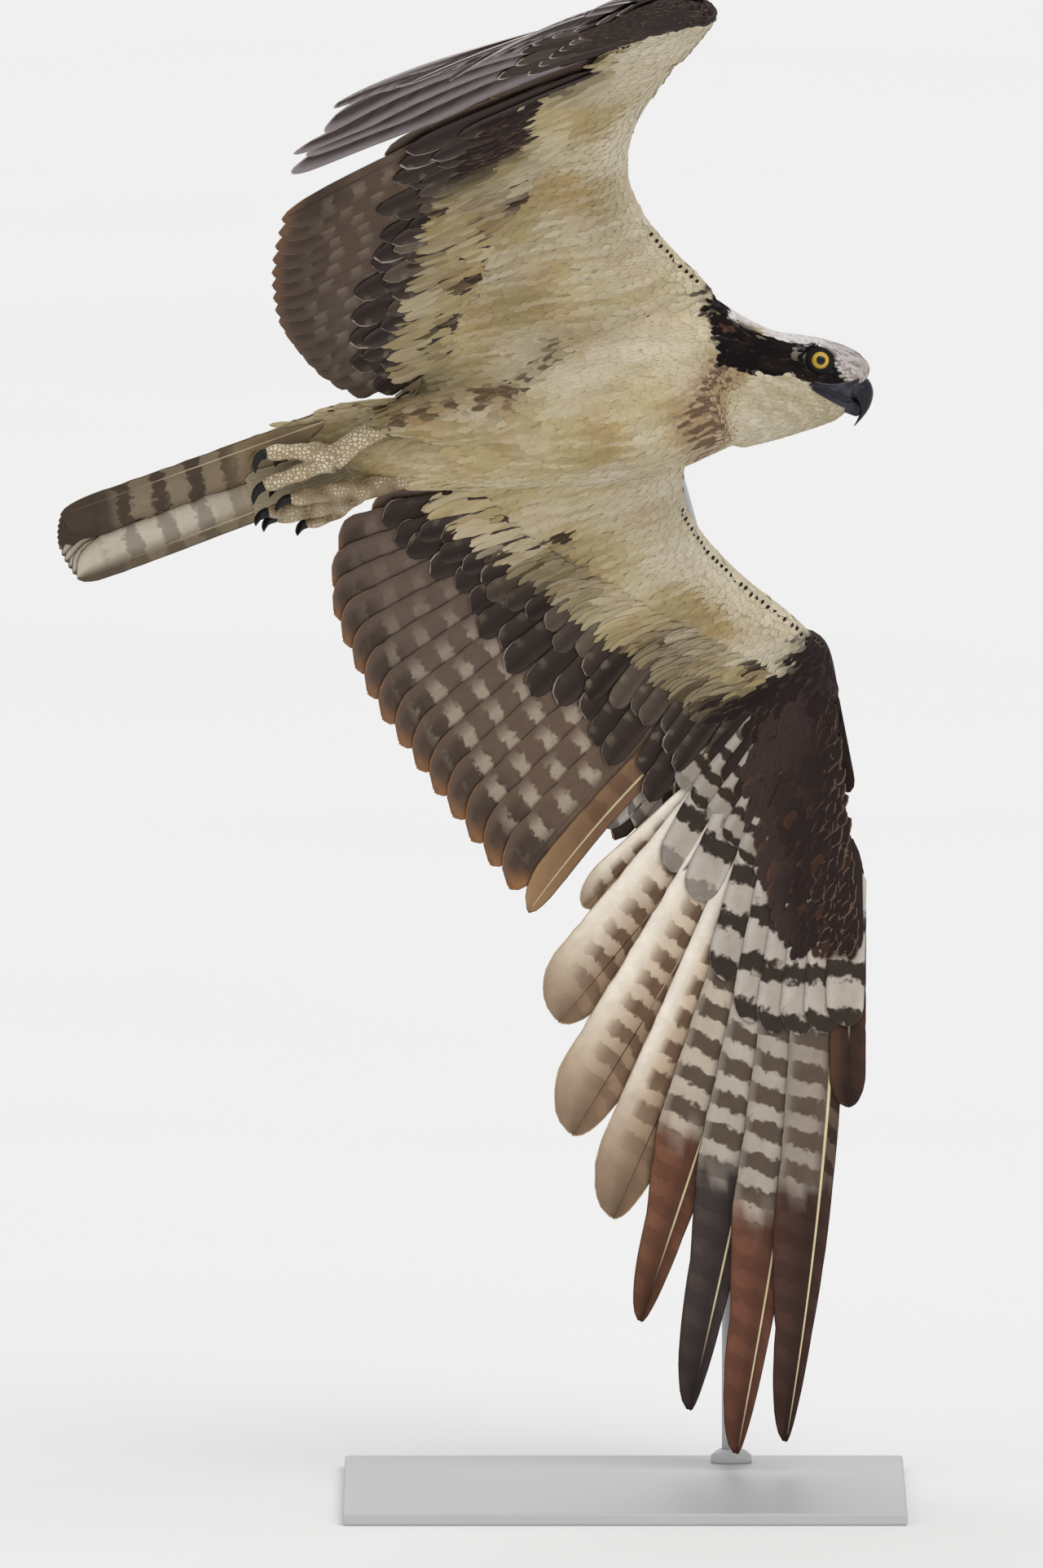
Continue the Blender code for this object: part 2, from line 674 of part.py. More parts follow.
def build_arm(name, side, wing, frame, where, pieces, cutters):
    arm, hand, front, rear = wing_sheets(wing, side)
    end = smooth_through(LINING_END)
    stations = ((40, 20), (67, 15), (92, 12), (131, 10), (172, 10), (215, 9.5), (255, 9), (290, 9), (312, 8))
    rings = [arm_ring(arm, front, end, out, thick, 4.2) for out, thick in stations]
    flesh = loft(name, rings, where)
    tips = smooth_through(COVERT_TIPS)
    for k in range(SECONDARIES):
        share = k / (SECONDARIES - 1)
        tip_out = 352 - (352 - 76) * share if side > 0 else 290 - (290 - 76) * share
        root_out = 284 - (284 - 84) * share
        tip = (tip_out, rear(tip_out))
        root = (root_out, end(root_out) + 16)
        feather(f"secondary_{k}", arm, root, tip, 12, 26, pieces, (-1, 0), tilt=0.055,
                stations=(0, 0.16, 0.45, 0.75, 0.93, 1))
    for upper in (False, True):
        for k in range(COVERTS):
            share = k / (COVERTS - 1)
            root_out = 280 - (280 - 86) * share
            tip_out = root_out + (26 if side > 0 else 0) * (1 - share) - 2
            reach = tips(min(tip_out, 290)) + (6 if upper else 0)
            level = 3.4 if upper else -3.4
            feather(f"covert_{k}", arm, (root_out, end(root_out) + 12), (tip_out, reach), 8, 15, pieces,
                    (-1, 0), level=level, tilt=0.05, stations=(0, 0.3, 0.75, 1), ridge=0.3, sink=-level * 0.4)
    for k, (root, tip) in enumerate(wing["wrist_feathers"]):
        feather(f"wrist_feather_{k}", arm, root, tip, 15, 24, pieces, (-1, 0), level=1.9 - 0.05 * k, tilt=0.0,
                stations=(0, 0.16, 0.5, 0.85, 1), ridge=0.3)
    fuse(flesh, pieces)
    clear_of_body(flesh, frame, cutters)
    part_at_wrist(flesh, side, wing, -1, cutters)


def part_at_wrist(obj, side, wing, keep, cutters):
    """Trims an arm (keep -1) or a hand (keep 1) to its own side of the plane between the two."""
    wrist = Vector(wing["wrist"])
    back = (Vector(wing["parting"]) - wrist).normalized()
    across = UP_AT_WRIST.cross(back).normalized()
    if across.y < 0:
        across = -across
    middle = wrist - across * keep * (WRIST_BLOCK / 2 - GAP / MM / 2)
    mirror = Matrix.Diagonal((1, side, 1))
    axes = Matrix((back, across, back.cross(across))).transposed()
    block = box("wrist_block", (WRIST_BLOCK * MM,) * 3, cutters)
    block.data.transform(Matrix.Translation(mirror @ middle * MM) @ (mirror @ axes).to_4x4())
    face_outwards(block)
    boolean(obj, block, "DIFFERENCE", "MANIFOLD")
    keep_largest(obj)


def box(name, size, where):
    mesh = bpy.data.meshes.new(name)
    shape = bmesh.new()
    bmesh.ops.create_cube(shape, size=1.0)
    shape.to_mesh(mesh)
    shape.free()
    mesh.transform(Matrix.Diagonal((*size, 1)))
    obj = bpy.data.objects.new(name, mesh)
    where.objects.link(obj)
    return obj


def build_hand(name, side, wing, where, pieces, cutters):
    arm, hand, front, rear = wing_sheets(wing, side)
    rings = []
    for out, lead, back, depth in HAND_SECTIONS:
        ring = []
        for upper in (True, False):
            row = []
            for share in (0, 0.08, 0.3, 0.65, 1):
                full = 0 if share == 0 else (0.75 if share < 0.2 else 1 - 0.55 * share)
                row.append(hand(out, lead + (back - lead) * share, depth * full * (1 if upper else -1)))
            ring += row if upper else row[:0:-1]
        rings.append(ring)
    flesh = loft(name, rings, where)
    for k, (root, tip, outer, inner, narrow) in enumerate((wing["short_primary"], *PRIMARIES)):
        finger = narrow[1] < FINGER_SHARE
        feather(f"primary_{k}", hand, root, tip, outer, inner, pieces, (0, 1), tilt=0.085,
                bow=PRIMARY_BOWS.get(k - 1, 0), narrow=narrow,
                tip_from=FINGER_TIP_FROM if finger else 0.86)
    for upper in (False, True):
        for k in range(8):
            share = k / 7
            root = (24 + 102 * share, 32 - 56 * share)
            tip = (76 + 156 * share, 94 - 110 * share)
            feather(f"primary_covert_{k}", hand, root, tip, 7, 13, pieces, (0, 1),
                    level=3.6 if upper else -3.6, tilt=0.06, stations=(0, 0.3, 0.75, 1), ridge=0.3,
                    sink=-1.5 if upper else 1.5)
    for k, (root, tip) in enumerate(ALULA):
        feather(f"alula_{k}", hand, root, tip, 5, 11, pieces, (0, 1), level=8.0 - 0.5 * k, tilt=0.04,
                stations=(0, 0.3, 0.8, 1), ridge=0.3, sink=-2)
    fuse(flesh, pieces)
    part_at_wrist(flesh, side, wing, 1, cutters)


# The tail, legs and feet

def build_tail(frame, where, pieces, cutters):
    """Twelve feathers, the middle pair on top, round a short flat root."""
    axis = (TAIL_TIP - TAIL_ROOT).normalized()
    upwards = axis.cross(Vector((0, 1, 0))).normalized()
    if upwards.z < 0:
        upwards = -upwards
    length = (TAIL_TIP - TAIL_ROOT).length / MM

    def sheet(out, back, up):
        return TAIL_ROOT + (Vector((0, 1, 0)) * out + axis * back + upwards * up) * MM

    rings = []
    for back, half_width, above, below in TAIL_BASE:
        rings.append([sheet(TAIL_ROOT_OFF + y, back, z) for y, z in oval(half_width, above, below, 14)])
    root = loft("tail", rings, where)
    for k in range(TAIL_FEATHERS // 2):
        for side in (1, -1):
            share = (k + 0.5) / (TAIL_FEATHERS / 2)
            level = 0.6 - 5.2 * share + 0.35 * side

            def half(out, back, up, side=side):
                off = TAIL_ROOT_OFF + (TAIL_TIP_OFF - TAIL_ROOT_OFF) * back / length
                return sheet(off - side * out, back, up)

            tip = (-TAIL_TIP_SPREAD * share, length - 7 * share**2)
            feather(f"rectrix_{k}", half, (-TAIL_ROOT_SPREAD * share, 18), tip, 9, 15, pieces, (1, 0), level=level,
                    tilt=-0.03, stations=(0, 0.16, 0.5, 0.85, 0.95, 1), ridge=0.45)
    fuse(root, pieces)
    clear_of_body(root, frame, cutters)
    return root


def build_leg(label, side, leg, frame, where, pieces, cutters):
    """The bare leg with its four toes, clenched back under the tail, and a claw on each."""

    def place(point):
        return Vector((point[0], side * point[1], point[2])) * MM

    foot = tube("foot_" + label, [place(p) for p in leg["shank"]], [r * MM for r in SHANK_RADII], where)
    for k, (toe, claw_end) in enumerate(zip(leg["toes"], leg["claw_ends"]), 1):
        joints = [place(p) for p in toe]
        tube("toe", joints, [r * MM for r in TOE_RADII], pieces, 1)
        onward = (joints[-1] - joints[-2]).normalized()
        start = joints[-1] + onward * GAP
        end = place(claw_end)
        bend = start + onward * (end - start).length * 0.55
        path = [start, start + onward * 3 * MM]
        for t in (0.4, 0.7, 1.0):
            path.append(start * (1 - t) ** 2 + bend * 2 * t * (1 - t) + end * t**2)
        tube(f"claw_{label}_{k}", path, [r * MM for r in CLAW_RADII], where, 1)
    fuse(foot, pieces)
    clear_of_body(foot, frame, cutters)


def build_stand(where):
    base = box("stand_base", (*BASE_SIZE, BASE_THICKNESS), where)
    base.data.transform(Matrix.Translation((0, 0, BASE_THICKNESS / 2)))
    tube("stand_rod", rod_path(), None, where, 2, ROD_RADIUS)


def rod_path():
    return smooth_path([Vector(p) * MM for p in ROD], 4)


def smooth_path(points, steps):
    """Points along a smooth path through those given, with steps of them to each span."""
    axes = []
    for axis in range(3):
        axes.append(smooth_through([(i, p[axis]) for i, p in enumerate(points)]))
    count = (len(points) - 1) * steps
    return [Vector([value(i / steps) for value in axes]) for i in range(count + 1)]


def paint(objects):
    """Gives each object its own material, named for it."""
    for obj in objects:
        for start, (colour, roughness, metallic) in COLOURS.items():
            if obj.name.startswith(start):
                obj.data.materials.clear()
                obj.data.materials.append(material(obj.name, colour, roughness, metallic))


def main():
    clear_scene()
    bird = collection_named("osprey")
    pieces = collection_named("joined pieces")
    cutters = collection_named("cutters")
    torso = torso_body("torso", bird)
    frame = head_matrix()
    build_head(frame, bird, pieces, cutters)
    neck_body("neck", frame, bird)
    build_bill(frame, bird, cutters)
    sides = ((1, "left", LEFT_WING, LEFT_LEG), (-1, "right", RIGHT_WING, RIGHT_LEG))
    for side, label, wing, leg in sides:
        build_arm("wing_arm_" + label, side, wing, frame, bird, pieces, cutters)
        build_hand("wing_hand_" + label, side, wing, bird, pieces, cutters)
        build_leg(label, side, leg, frame, bird, pieces, cutters)
    build_tail(frame, bird, pieces, cutters)
    # A socket in the back takes the rod's end
    path = rod_path()
    path[-1] += (path[-1] - path[-2]).normalized() * GAP
    socket = tube("socket", path, None, cutters, 2, ROD_RADIUS + GAP)
    socket.data.transform(pose_matrix().inverted())
    boolean(torso, socket, "DIFFERENCE", "MANIFOLD")
    keep_largest(torso)
    holder = bpy.data.objects.new("bird_pose", None)
    bird.objects.link(holder)
    holder.matrix_world = pose_matrix()
    for obj in list(bird.objects):
        if obj is not holder:
            obj.parent = holder
    build_stand(bird)
    paint([obj for obj in bird.objects if obj.type == "MESH"])


main()
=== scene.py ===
"""The looks of an osprey in a banking glide, life size, held on a plain display stand.

The bird is worked out in its own frame, in millimetres: +X to the bill, +Y to the left wing and
+Z to the back, from midway between the shoulders. One matrix then turns every piece into place.
"""

import itertools
import math
from types import SimpleNamespace

import bpy
import numpy as np
from mathutils import Euler, Matrix, Vector
from mathutils.bvhtree import BVHTree


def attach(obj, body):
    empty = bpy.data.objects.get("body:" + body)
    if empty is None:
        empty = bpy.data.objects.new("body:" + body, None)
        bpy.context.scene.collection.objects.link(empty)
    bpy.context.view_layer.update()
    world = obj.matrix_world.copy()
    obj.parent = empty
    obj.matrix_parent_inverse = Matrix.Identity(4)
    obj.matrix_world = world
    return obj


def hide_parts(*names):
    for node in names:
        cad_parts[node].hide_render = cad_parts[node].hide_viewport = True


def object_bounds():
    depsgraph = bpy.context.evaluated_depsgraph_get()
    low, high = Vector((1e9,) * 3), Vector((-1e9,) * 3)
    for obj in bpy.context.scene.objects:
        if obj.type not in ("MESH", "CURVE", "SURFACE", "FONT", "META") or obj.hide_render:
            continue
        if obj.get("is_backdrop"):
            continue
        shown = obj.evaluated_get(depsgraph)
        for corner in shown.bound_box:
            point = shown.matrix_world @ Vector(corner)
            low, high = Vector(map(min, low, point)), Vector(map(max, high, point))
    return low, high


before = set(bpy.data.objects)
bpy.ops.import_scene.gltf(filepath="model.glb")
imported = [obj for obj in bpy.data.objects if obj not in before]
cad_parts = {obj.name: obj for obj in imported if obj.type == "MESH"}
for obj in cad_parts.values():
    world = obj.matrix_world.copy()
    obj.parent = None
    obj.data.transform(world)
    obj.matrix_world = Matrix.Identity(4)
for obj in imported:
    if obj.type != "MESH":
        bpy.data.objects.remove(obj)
cad_low, cad_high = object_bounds()


# The studio: a pale floor that runs out of sight, soft light all round, and a long lens thirty
# metres off, a little above the bird, which sees its breast and the underside of both wings.

AIM = Vector((-0.0661, -0.1105, 0.4670))
CAMERA_DISTANCE, LOOKS_DOWN = 30.0, math.radians(4.5)
PICTURE_HEIGHT, SENSOR = 1.0005, 36.0

camera = bpy.data.objects.new("camera", bpy.data.cameras.new("camera"))
bpy.context.scene.collection.objects.link(camera)
camera.location = AIM + CAMERA_DISTANCE * Vector((0, -math.cos(LOOKS_DOWN), math.sin(LOOKS_DOWN)))
camera.rotation_euler = (math.pi / 2 - LOOKS_DOWN, 0, 0)
camera.data.sensor_width = SENSOR
camera.data.lens = SENSOR * CAMERA_DISTANCE / PICTURE_HEIGHT
camera.data.clip_start, camera.data.clip_end = 1.0, 300.0
bpy.context.scene.camera = camera
bpy.context.scene.view_settings.view_transform = "Standard"


def linear(hex_colour):
    """An sRGB hex colour such as #CFC7AE as linear red, green and blue."""
    values = [int(hex_colour[i : i + 2], 16) / 255 for i in (1, 3, 5)]
    return np.array([v / 12.92 if v <= 0.04045 else ((v + 0.055) / 1.055) ** 2.4 for v in values])


def feed(tree, target, inputs):
    """Gives a node's inputs their values; a socket, or a node's first output, is linked instead."""
    for key, value in inputs.items():
        socket = target.inputs[key]
        if isinstance(value, bpy.types.Node):
            value = value.outputs[0]
        if isinstance(value, bpy.types.NodeSocket):
            tree.links.new(value, socket)
        else:
            socket.default_value = (*value, 1) if socket.type == "RGBA" else value


def node(tree, kind, inputs=None, **settings):
    """Adds a shader node with its settings, and feeds its inputs."""
    made = tree.nodes.new("ShaderNode" + kind)
    for key, value in settings.items():
        setattr(made, key, value)
    feed(tree, made, inputs or {})
    return made


def new_material(name):
    """A material, its tree, its surface shader and the piece's own coordinates."""
    made = bpy.data.materials.new(name)
    made.use_nodes = True
    tree = made.node_tree
    return made, tree, tree.nodes["Principled BSDF"], node(tree, "TexCoord").outputs["Object"]


world = bpy.data.worlds.new("studio air")
world.use_nodes = True
feed(world.node_tree, world.node_tree.nodes["Background"], {"Color": linear("#F8F7F6"), "Strength": 0.62})
bpy.context.scene.world = world

# Lamps as wide as a softbox and so far off that they light the whole floor alike
for light_name, towards, spread, power in (
    ("key", (0.55, -0.85, 1.15), 50, 1.25),
    ("fill", (-0.9, -0.8, 0.35), 70, 0.40),
    ("back", (-0.2, 0.9, 0.7), 50, 0.45),
):
    lamp = bpy.data.lights.new(light_name, "SUN")
    lamp.angle, lamp.energy = math.radians(spread), power
    lamp_object = bpy.data.objects.new(light_name, lamp)
    lamp_object.rotation_euler = Vector(towards).to_track_quat("Z", "Y").to_euler()
    bpy.context.scene.collection.objects.link(lamp_object)

bpy.ops.object.select_all(action="DESELECT")
bpy.ops.mesh.primitive_circle_add(vertices=96, radius=70, fill_type="NGON", location=(0, 0, 0))
floor = bpy.context.object
floor.name = "floor"
# Matt painted studio floor: one even pale grey with a faint cloudiness of roller marks
floor_paint, tree, shader, place = new_material("matt floor paint")
cloud = node(tree, "TexNoise", {"Vector": place, "Scale": 0.8, "Detail": 2.0})
shade = node(tree, "MixRGB", {"Fac": cloud, "Color1": linear("#EDEDEE"), "Color2": linear("#F2F2F2")})
feed(tree, shader, {"Base Color": shade, "Roughness": 0.9})
floor.data.materials.append(floor_paint)
floor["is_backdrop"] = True


# The bird's flesh: one skin over head, neck, body, thighs, arms and hands. In life it is thin bare
# skin that the coat hides; here it is the ground that every small feather is set on, 1.2 mm below
# the solids' own surface, and it carries the coat's own markings where it shows between feathers.

MM = 0.001
HEADING, CLIMB, BANK = 0.6, 14.0, 48.6
SHOULDERS_AT = Vector((20, -90, 728)) * MM
HEAD_HEADING, HEAD_PITCH, HEAD_ROLL = -1.4, -17.0, -4.5
HEAD_FROM_SHOULDERS = Vector((93.3, 0.4, 2.4)) * MM

turned_body = Euler((math.radians(-BANK), math.radians(-CLIMB), math.radians(HEADING))).to_matrix()
turned_head = Euler([math.radians(a) for a in (HEAD_ROLL, -HEAD_PITCH, HEAD_HEADING)]).to_matrix()
BIRD = np.array(Matrix.Translation(SHOULDERS_AT) @ turned_body.to_4x4() @ Matrix.Scale(MM, 4))
HEAD_TURN = np.array(turned_body.inverted() @ turned_head)
HEAD_AT = np.array(turned_body.inverted() @ HEAD_FROM_SHOULDERS) / MM

TORSO = (
    (-206, 17, 10, 16),
    (-192, 24, 14, 24),
    (-170, 31, 19, 31),
    (-140, 40, 28, 41),
    (-112, 47, 36, 50),
    (-80, 54, 43, 58),
    (-45, 60, 49, 64),
    (-8, 62, 53, 66.5),
    (30, 55, 48, 61),
)
HEAD = (
    (-22, 29, 19.5, 60),
    (-8, 27.5, 22, 52),
    (6, 25, 24, 43),
    (16, 22, 23.2, 36),
    (25, 18, 20.8, 29.5),
    (31, 14.5, 17.8, 24.5),
    (35, 11.5, 14.6, 18.5),
)
LEFT_WING = {
    "front": ((50, 36), (67, 24), (92, 6), (131, 0), (172, 8), (215, 26), (262, 52), (300, 65)),
    "rear_height": ((72, -12), (180, -46), (352, -96)),
    "secondary_tips": ((74, -224), (110, -237), (174, -229), (200, -222), (280, -193), (352, -164)),
    "covert_tips": ((57, -190), (95, -177), (133, -163), (168, -147), (218, -127), (262, -101), (352, -60)),
    "lining_tips": ((66, -156), (90, -146), (117, -132), (150, -108), (207, -74), (240, -52), (290, -30)),
    "wrist": (64, 296, 8),
    "longest_primary": (-88, 633, -330),
    "inmost_primary": (-161, 416, -136),
    "parting": (-140, 372, -84),
    "hand_bow": 4,
    "fan": 0.02,
    "short_primary": ((30, 12), (172, 146), 12, 14, (0.88, 0.9)),
    "reach": 352,
    "wrist_feathers": (((286, 20), (334, -106)), ((296, 30), (350, -84)), ((304, 40), (356, -52))),
}
RIGHT_WING = {
    "front": ((50, 51), (67, 47), (92, 35), (131, 20), (172, 16), (215, 29), (262, 62), (300, 90)),
    "rear_height": ((72, -12), (172, -40), (290, -72)),
    "secondary_tips": ((74, -194), (100, -208), (130, -217), (172, -224), (235, -219), (290, -205)),
    "covert_tips": ((66, -176), (100, -180), (140, -172), (180, -160), (225, -143), (262, -126), (300, -108)),
    "lining_tips": ((66, -160), (100, -154), (122, -142), (165, -128), (205, -114), (240, -92), (292, -62)),
    "wrist": (92, 303, 1),
    "longest_primary": (-77, 637, -334),
    "inmost_primary": (-177, 394, -143),
    "parting": (-200, 320, -76),
    "hand_bow": 16,
    "fan": 0.21,
    "short_primary": ((30, 14), (198, 172), 14, 40, (0.88, 0.9)),
    "reach": 290,
    "wrist_feathers": (((284, 20), (300, -132)), ((294, 30), (316, -100)), ((302, 40), (324, -60))),
}
ELBOW_RISE = 12
FAN_WIDTH, TIP_LIFT = 156, 14
LINING_END = ((67, -150), (90, -142), (130, -118), (175, -86), (220, -52), (262, -18), (296, 8))
ARM_THICKNESS = ((40, 20), (67, 15), (92, 12), (131, 10), (172, 10), (215, 9.5), (255, 9), (290, 9), (312, 8))
REAR_THICKNESS, THICKEST_AT = 4.2, 0.22
HAND_SECTIONS = (
    (-4, 5, 36, 10),
    (26, -8, 48, 9.5),
    (58, -13.5, 42, 8),
    (92, -18, 26, 6.6),
    (124, -22, 9, 5.2),
    (148, -25, -10, 3.6),
)
UP_AT_WRIST, WRIST_RADIUS = Vector((-0.26, 0.43, 0.85)), 10.5
TAIL_ROOT, TAIL_TIP = Vector((-196, 0, -4)), Vector((-396, 0, -31))
TAIL_ROOT_OFF, TAIL_TIP_OFF = -15, -11.5
TAIL_BASE = ((-34, 22, 6, 8), (-6, 31, 7.5, 9), (12, 34, 7, 7.5), (34, 34, 6, 6), (58, 30, 4.5, 4.5))
LEFT_LEG = {
    "thigh": ((-78, 14, -14), (-108, 17, -17), (-140, 17, -18), (-174, 12, -20)),
    "shank": ((-164, 13, -21), (-190, 10, -27), (-208, 4, -32)),
    "toes": (
        ((-206, 8, -33), (-234, 8, -36), (-258, 4, -38)),
        ((-208, 2, -33), (-236, -1, -40), (-262, -5, -41)),
        ((-206, -2, -33), (-226, -10, -42), (-246, -14, -43)),
        ((-204, 8, -32), (-222, 18, -33), (-240, 22, -32)),
    ),
    "claw_ends": ((-267, 1, -51), (-271, -8, -53), (-256, -17, -54), (-247, 20, -43)),
}
RIGHT_LEG = {
    "thigh": ((-78, 22, -20), (-108, 32, -27), (-140, 38, -28), (-174, 41, -22)),
    "shank": ((-164, 41, -23), (-192, 35, -26), (-214, 27, -31)),
    "toes": (
        ((-212, 29, -31), (-234, 40, -29), (-254, 45, -29)),
        ((-216, 27, -32), (-240, 28, -37), (-260, 26, -38)),
        ((-214, 24, -31), (-232, 20, -27), (-248, 14, -26)),
        ((-210, 30, -30), (-226, 33, -24), (-242, 34, -23)),
    ),
    "claw_ends": ((-263, 43, -42), (-269, 24, -50), (-258, 13, -36), (-250, 32, -30)),
}
THIGH_RADII = (15, 20.5, 17.5, 11.5)
BROW = ((-11, 2.0, 9.0), (-3, 3.6, 9.6), (5, 3.2, 8.4), (12, 0.4, 5.4))
EYE_AT, EYE_RADIUS = np.array((8.5, 17.6, 8.8)), 7.6
SIDES = ((1, "left", LEFT_WING, LEFT_LEG), (-1, "right", RIGHT_WING, RIGHT_LEG))
VOXEL, COAT_DEPTH = 2.2, 1.2


def cubic(t, span, start, leaving, end, arriving):
    """A cubic over span from start to end, at t of it, with slopes leaving and arriving."""
    return (
        (2 * t**3 - 3 * t**2 + 1) * start
        + (t**3 - 2 * t**2 + t) * span * leaving
        + (3 * t**2 - 2 * t**3) * end
        + (t**3 - t**2) * span * arriving
    )


def smooth_through(knots):
    """A smooth function through (x, y) knots, with slopes from the neighbouring knots."""
    xs, ys = [k[0] for k in knots], [k[1] for k in knots]
    slopes = []
    for i in range(len(knots)):
        low, high = max(i - 1, 0), min(i + 1, len(knots) - 1)
        slopes.append((ys[high] - ys[low]) / (xs[high] - xs[low]))

    def value(x):
        if x <= xs[0]:
            return ys[0] + slopes[0] * (x - xs[0])
        if x >= xs[-1]:
            return ys[-1] + slopes[-1] * (x - xs[-1])
        i = max(k for k in range(len(xs) - 1) if xs[k] <= x)
        span = xs[i + 1] - xs[i]
        return cubic((x - xs[i]) / span, span, ys[i], slopes[i], ys[i + 1], slopes[i + 1])

    return value


def through(table, steps):
    """Rows of a table as smooth rows, steps of them to each of its spans."""
    columns = [smooth_through(list(enumerate(column))) for column in zip(*table)]
    count = (len(table) - 1) * steps
    return np.array([[column(i / steps) for column in columns] for i in range(count + 1)])


def through_values(values, steps):
    """A row of values as a smooth row, steps of them to each span."""
    return through([(value,) for value in values], steps)[:, 0]


def oval(half_width, above, below, sides, squareness=1.0):
    """A ring across the body, from the top round by the left side, as rows of side and height."""
    turn = np.arange(sides) * 2 * math.pi / sides
    side, height = np.sin(turn), np.cos(turn)
    side = np.copysign(np.abs(side) ** squareness, side)
    return np.stack([half_width * side, np.where(height > 0, above, below) * height], axis=1)


def from_head(points):
    """Points of the head's own frame in the bird's frame."""
    return np.asarray(points, float) @ HEAD_TURN.T + HEAD_AT


def to_head(points):
    return (np.asarray(points, float) - HEAD_AT) @ HEAD_TURN


def closed_loft(rings):
    """A closed body of triangles through rings of equally many points, as points and faces."""
    rings = np.asarray(rings, float)
    count, sides = rings.shape[:2]
    points = np.concatenate([rings.reshape(-1, 3), [rings[0].mean(0)], [rings[-1].mean(0)]])
    i = np.arange(sides)
    j = (i + 1) % sides
    faces = []
    for low in range(0, (count - 1) * sides, sides):
        high = low + sides
        faces += [np.stack([low + i, low + j, high + j], 1), np.stack([low + i, high + j, high + i], 1)]
    first, last, end = count * sides, count * sides + 1, (count - 1) * sides
    faces.append(np.stack([j, i, np.full(sides, first)], 1))
    faces.append(np.stack([end + i, end + j, np.full(sides, last)], 1))
    return points, outwards(points, np.concatenate(faces))


def outwards(points, faces):
    """The same triangles, turned if the closed body that they bound is inside out."""
    a, b, c = (points[faces[:, k]] for k in range(3))
    if np.einsum("ij,ij->", a, np.cross(b, c)) < 0:
        faces = faces[:, ::-1]
    return faces


def joined(bodies):
    """Several (points, faces) bodies as one."""
    points, faces, start = [], [], 0
    for body_points, body_faces in bodies:
        points.append(body_points)
        faces.append(body_faces + start)
        start += len(body_points)
    return np.concatenate(points), np.concatenate(faces)


def tube(path, radii, sides, across=1.0):
    """A closed tapering rod along a path, as points and faces; across narrows it in one direction."""
    path = np.asarray(path, float)
    radii = np.broadcast_to(radii, len(path))
    tangent = np.gradient(path, axis=0)
    tangent /= np.linalg.norm(tangent, axis=1)[:, None]
    side = np.cross(tangent[0], (0, 0, 1) if abs(tangent[0][2]) < 0.9 else (1, 0, 0))
    turn = np.arange(sides) * 2 * math.pi / sides
    rings = []
    for point, along, radius in zip(path, tangent, radii):
        side = side - along * (side @ along)
        side /= np.linalg.norm(side)
        up = np.cross(along, side)
        rings.append(point + radius * (np.outer(np.cos(turn), side) + across * np.outer(np.sin(turn), up)))
    return closed_loft(rings)


def mesh_from(name, points, faces):
    """A smooth mesh object from arrays, in the bird's own frame for now."""
    mesh = bpy.data.meshes.new(name)
    mesh.vertices.add(len(points))
    mesh.vertices.foreach_set("co", np.asarray(points, np.float32).ravel())
    mesh.loops.add(faces.size)
    mesh.loops.foreach_set("vertex_index", np.asarray(faces, np.int32).ravel())
    mesh.polygons.add(len(faces))
    mesh.polygons.foreach_set("loop_start", np.arange(0, faces.size, faces.shape[1], dtype=np.int32))
    mesh.polygons.foreach_set("use_smooth", np.ones(len(faces), bool))
    mesh.update(calc_edges=True)
    mesh.validate()
    made = bpy.data.objects.new(name, mesh)
    bpy.context.scene.collection.objects.link(made)
    return made


def apply_modifier(obj, kind, **settings):
    modifier = obj.modifiers.new(kind, kind)
    for key, value in settings.items():
        setattr(modifier, key, value)
    bpy.ops.object.select_all(action="DESELECT")
    bpy.context.view_layer.objects.active = obj
    bpy.ops.object.modifier_apply(modifier=modifier.name)


def colour_attribute(obj, name, colours):
    layer = obj.data.attributes.new(name, "FLOAT_COLOR", "POINT")
    layer.data.foreach_set("color", np.c_[colours, np.ones(len(colours))].astype(np.float32).ravel())


def number_attribute(obj, name, values):
    layer = obj.data.attributes.new(name, "FLOAT", "POINT")
    layer.data.foreach_set("value", np.asarray(values, np.float32))


def set_piece(obj, slot, *nodes, matrix=BIRD):
    """Puts a finished piece in its place in the world, on the root body."""
    obj.data.transform(Matrix(matrix))
    obj.data.update()
    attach(obj, "root")
    if nodes:
        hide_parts(*nodes)
    return obj


HAND_REACH, CAMBER, PALM_CURL = 505, 9, 5


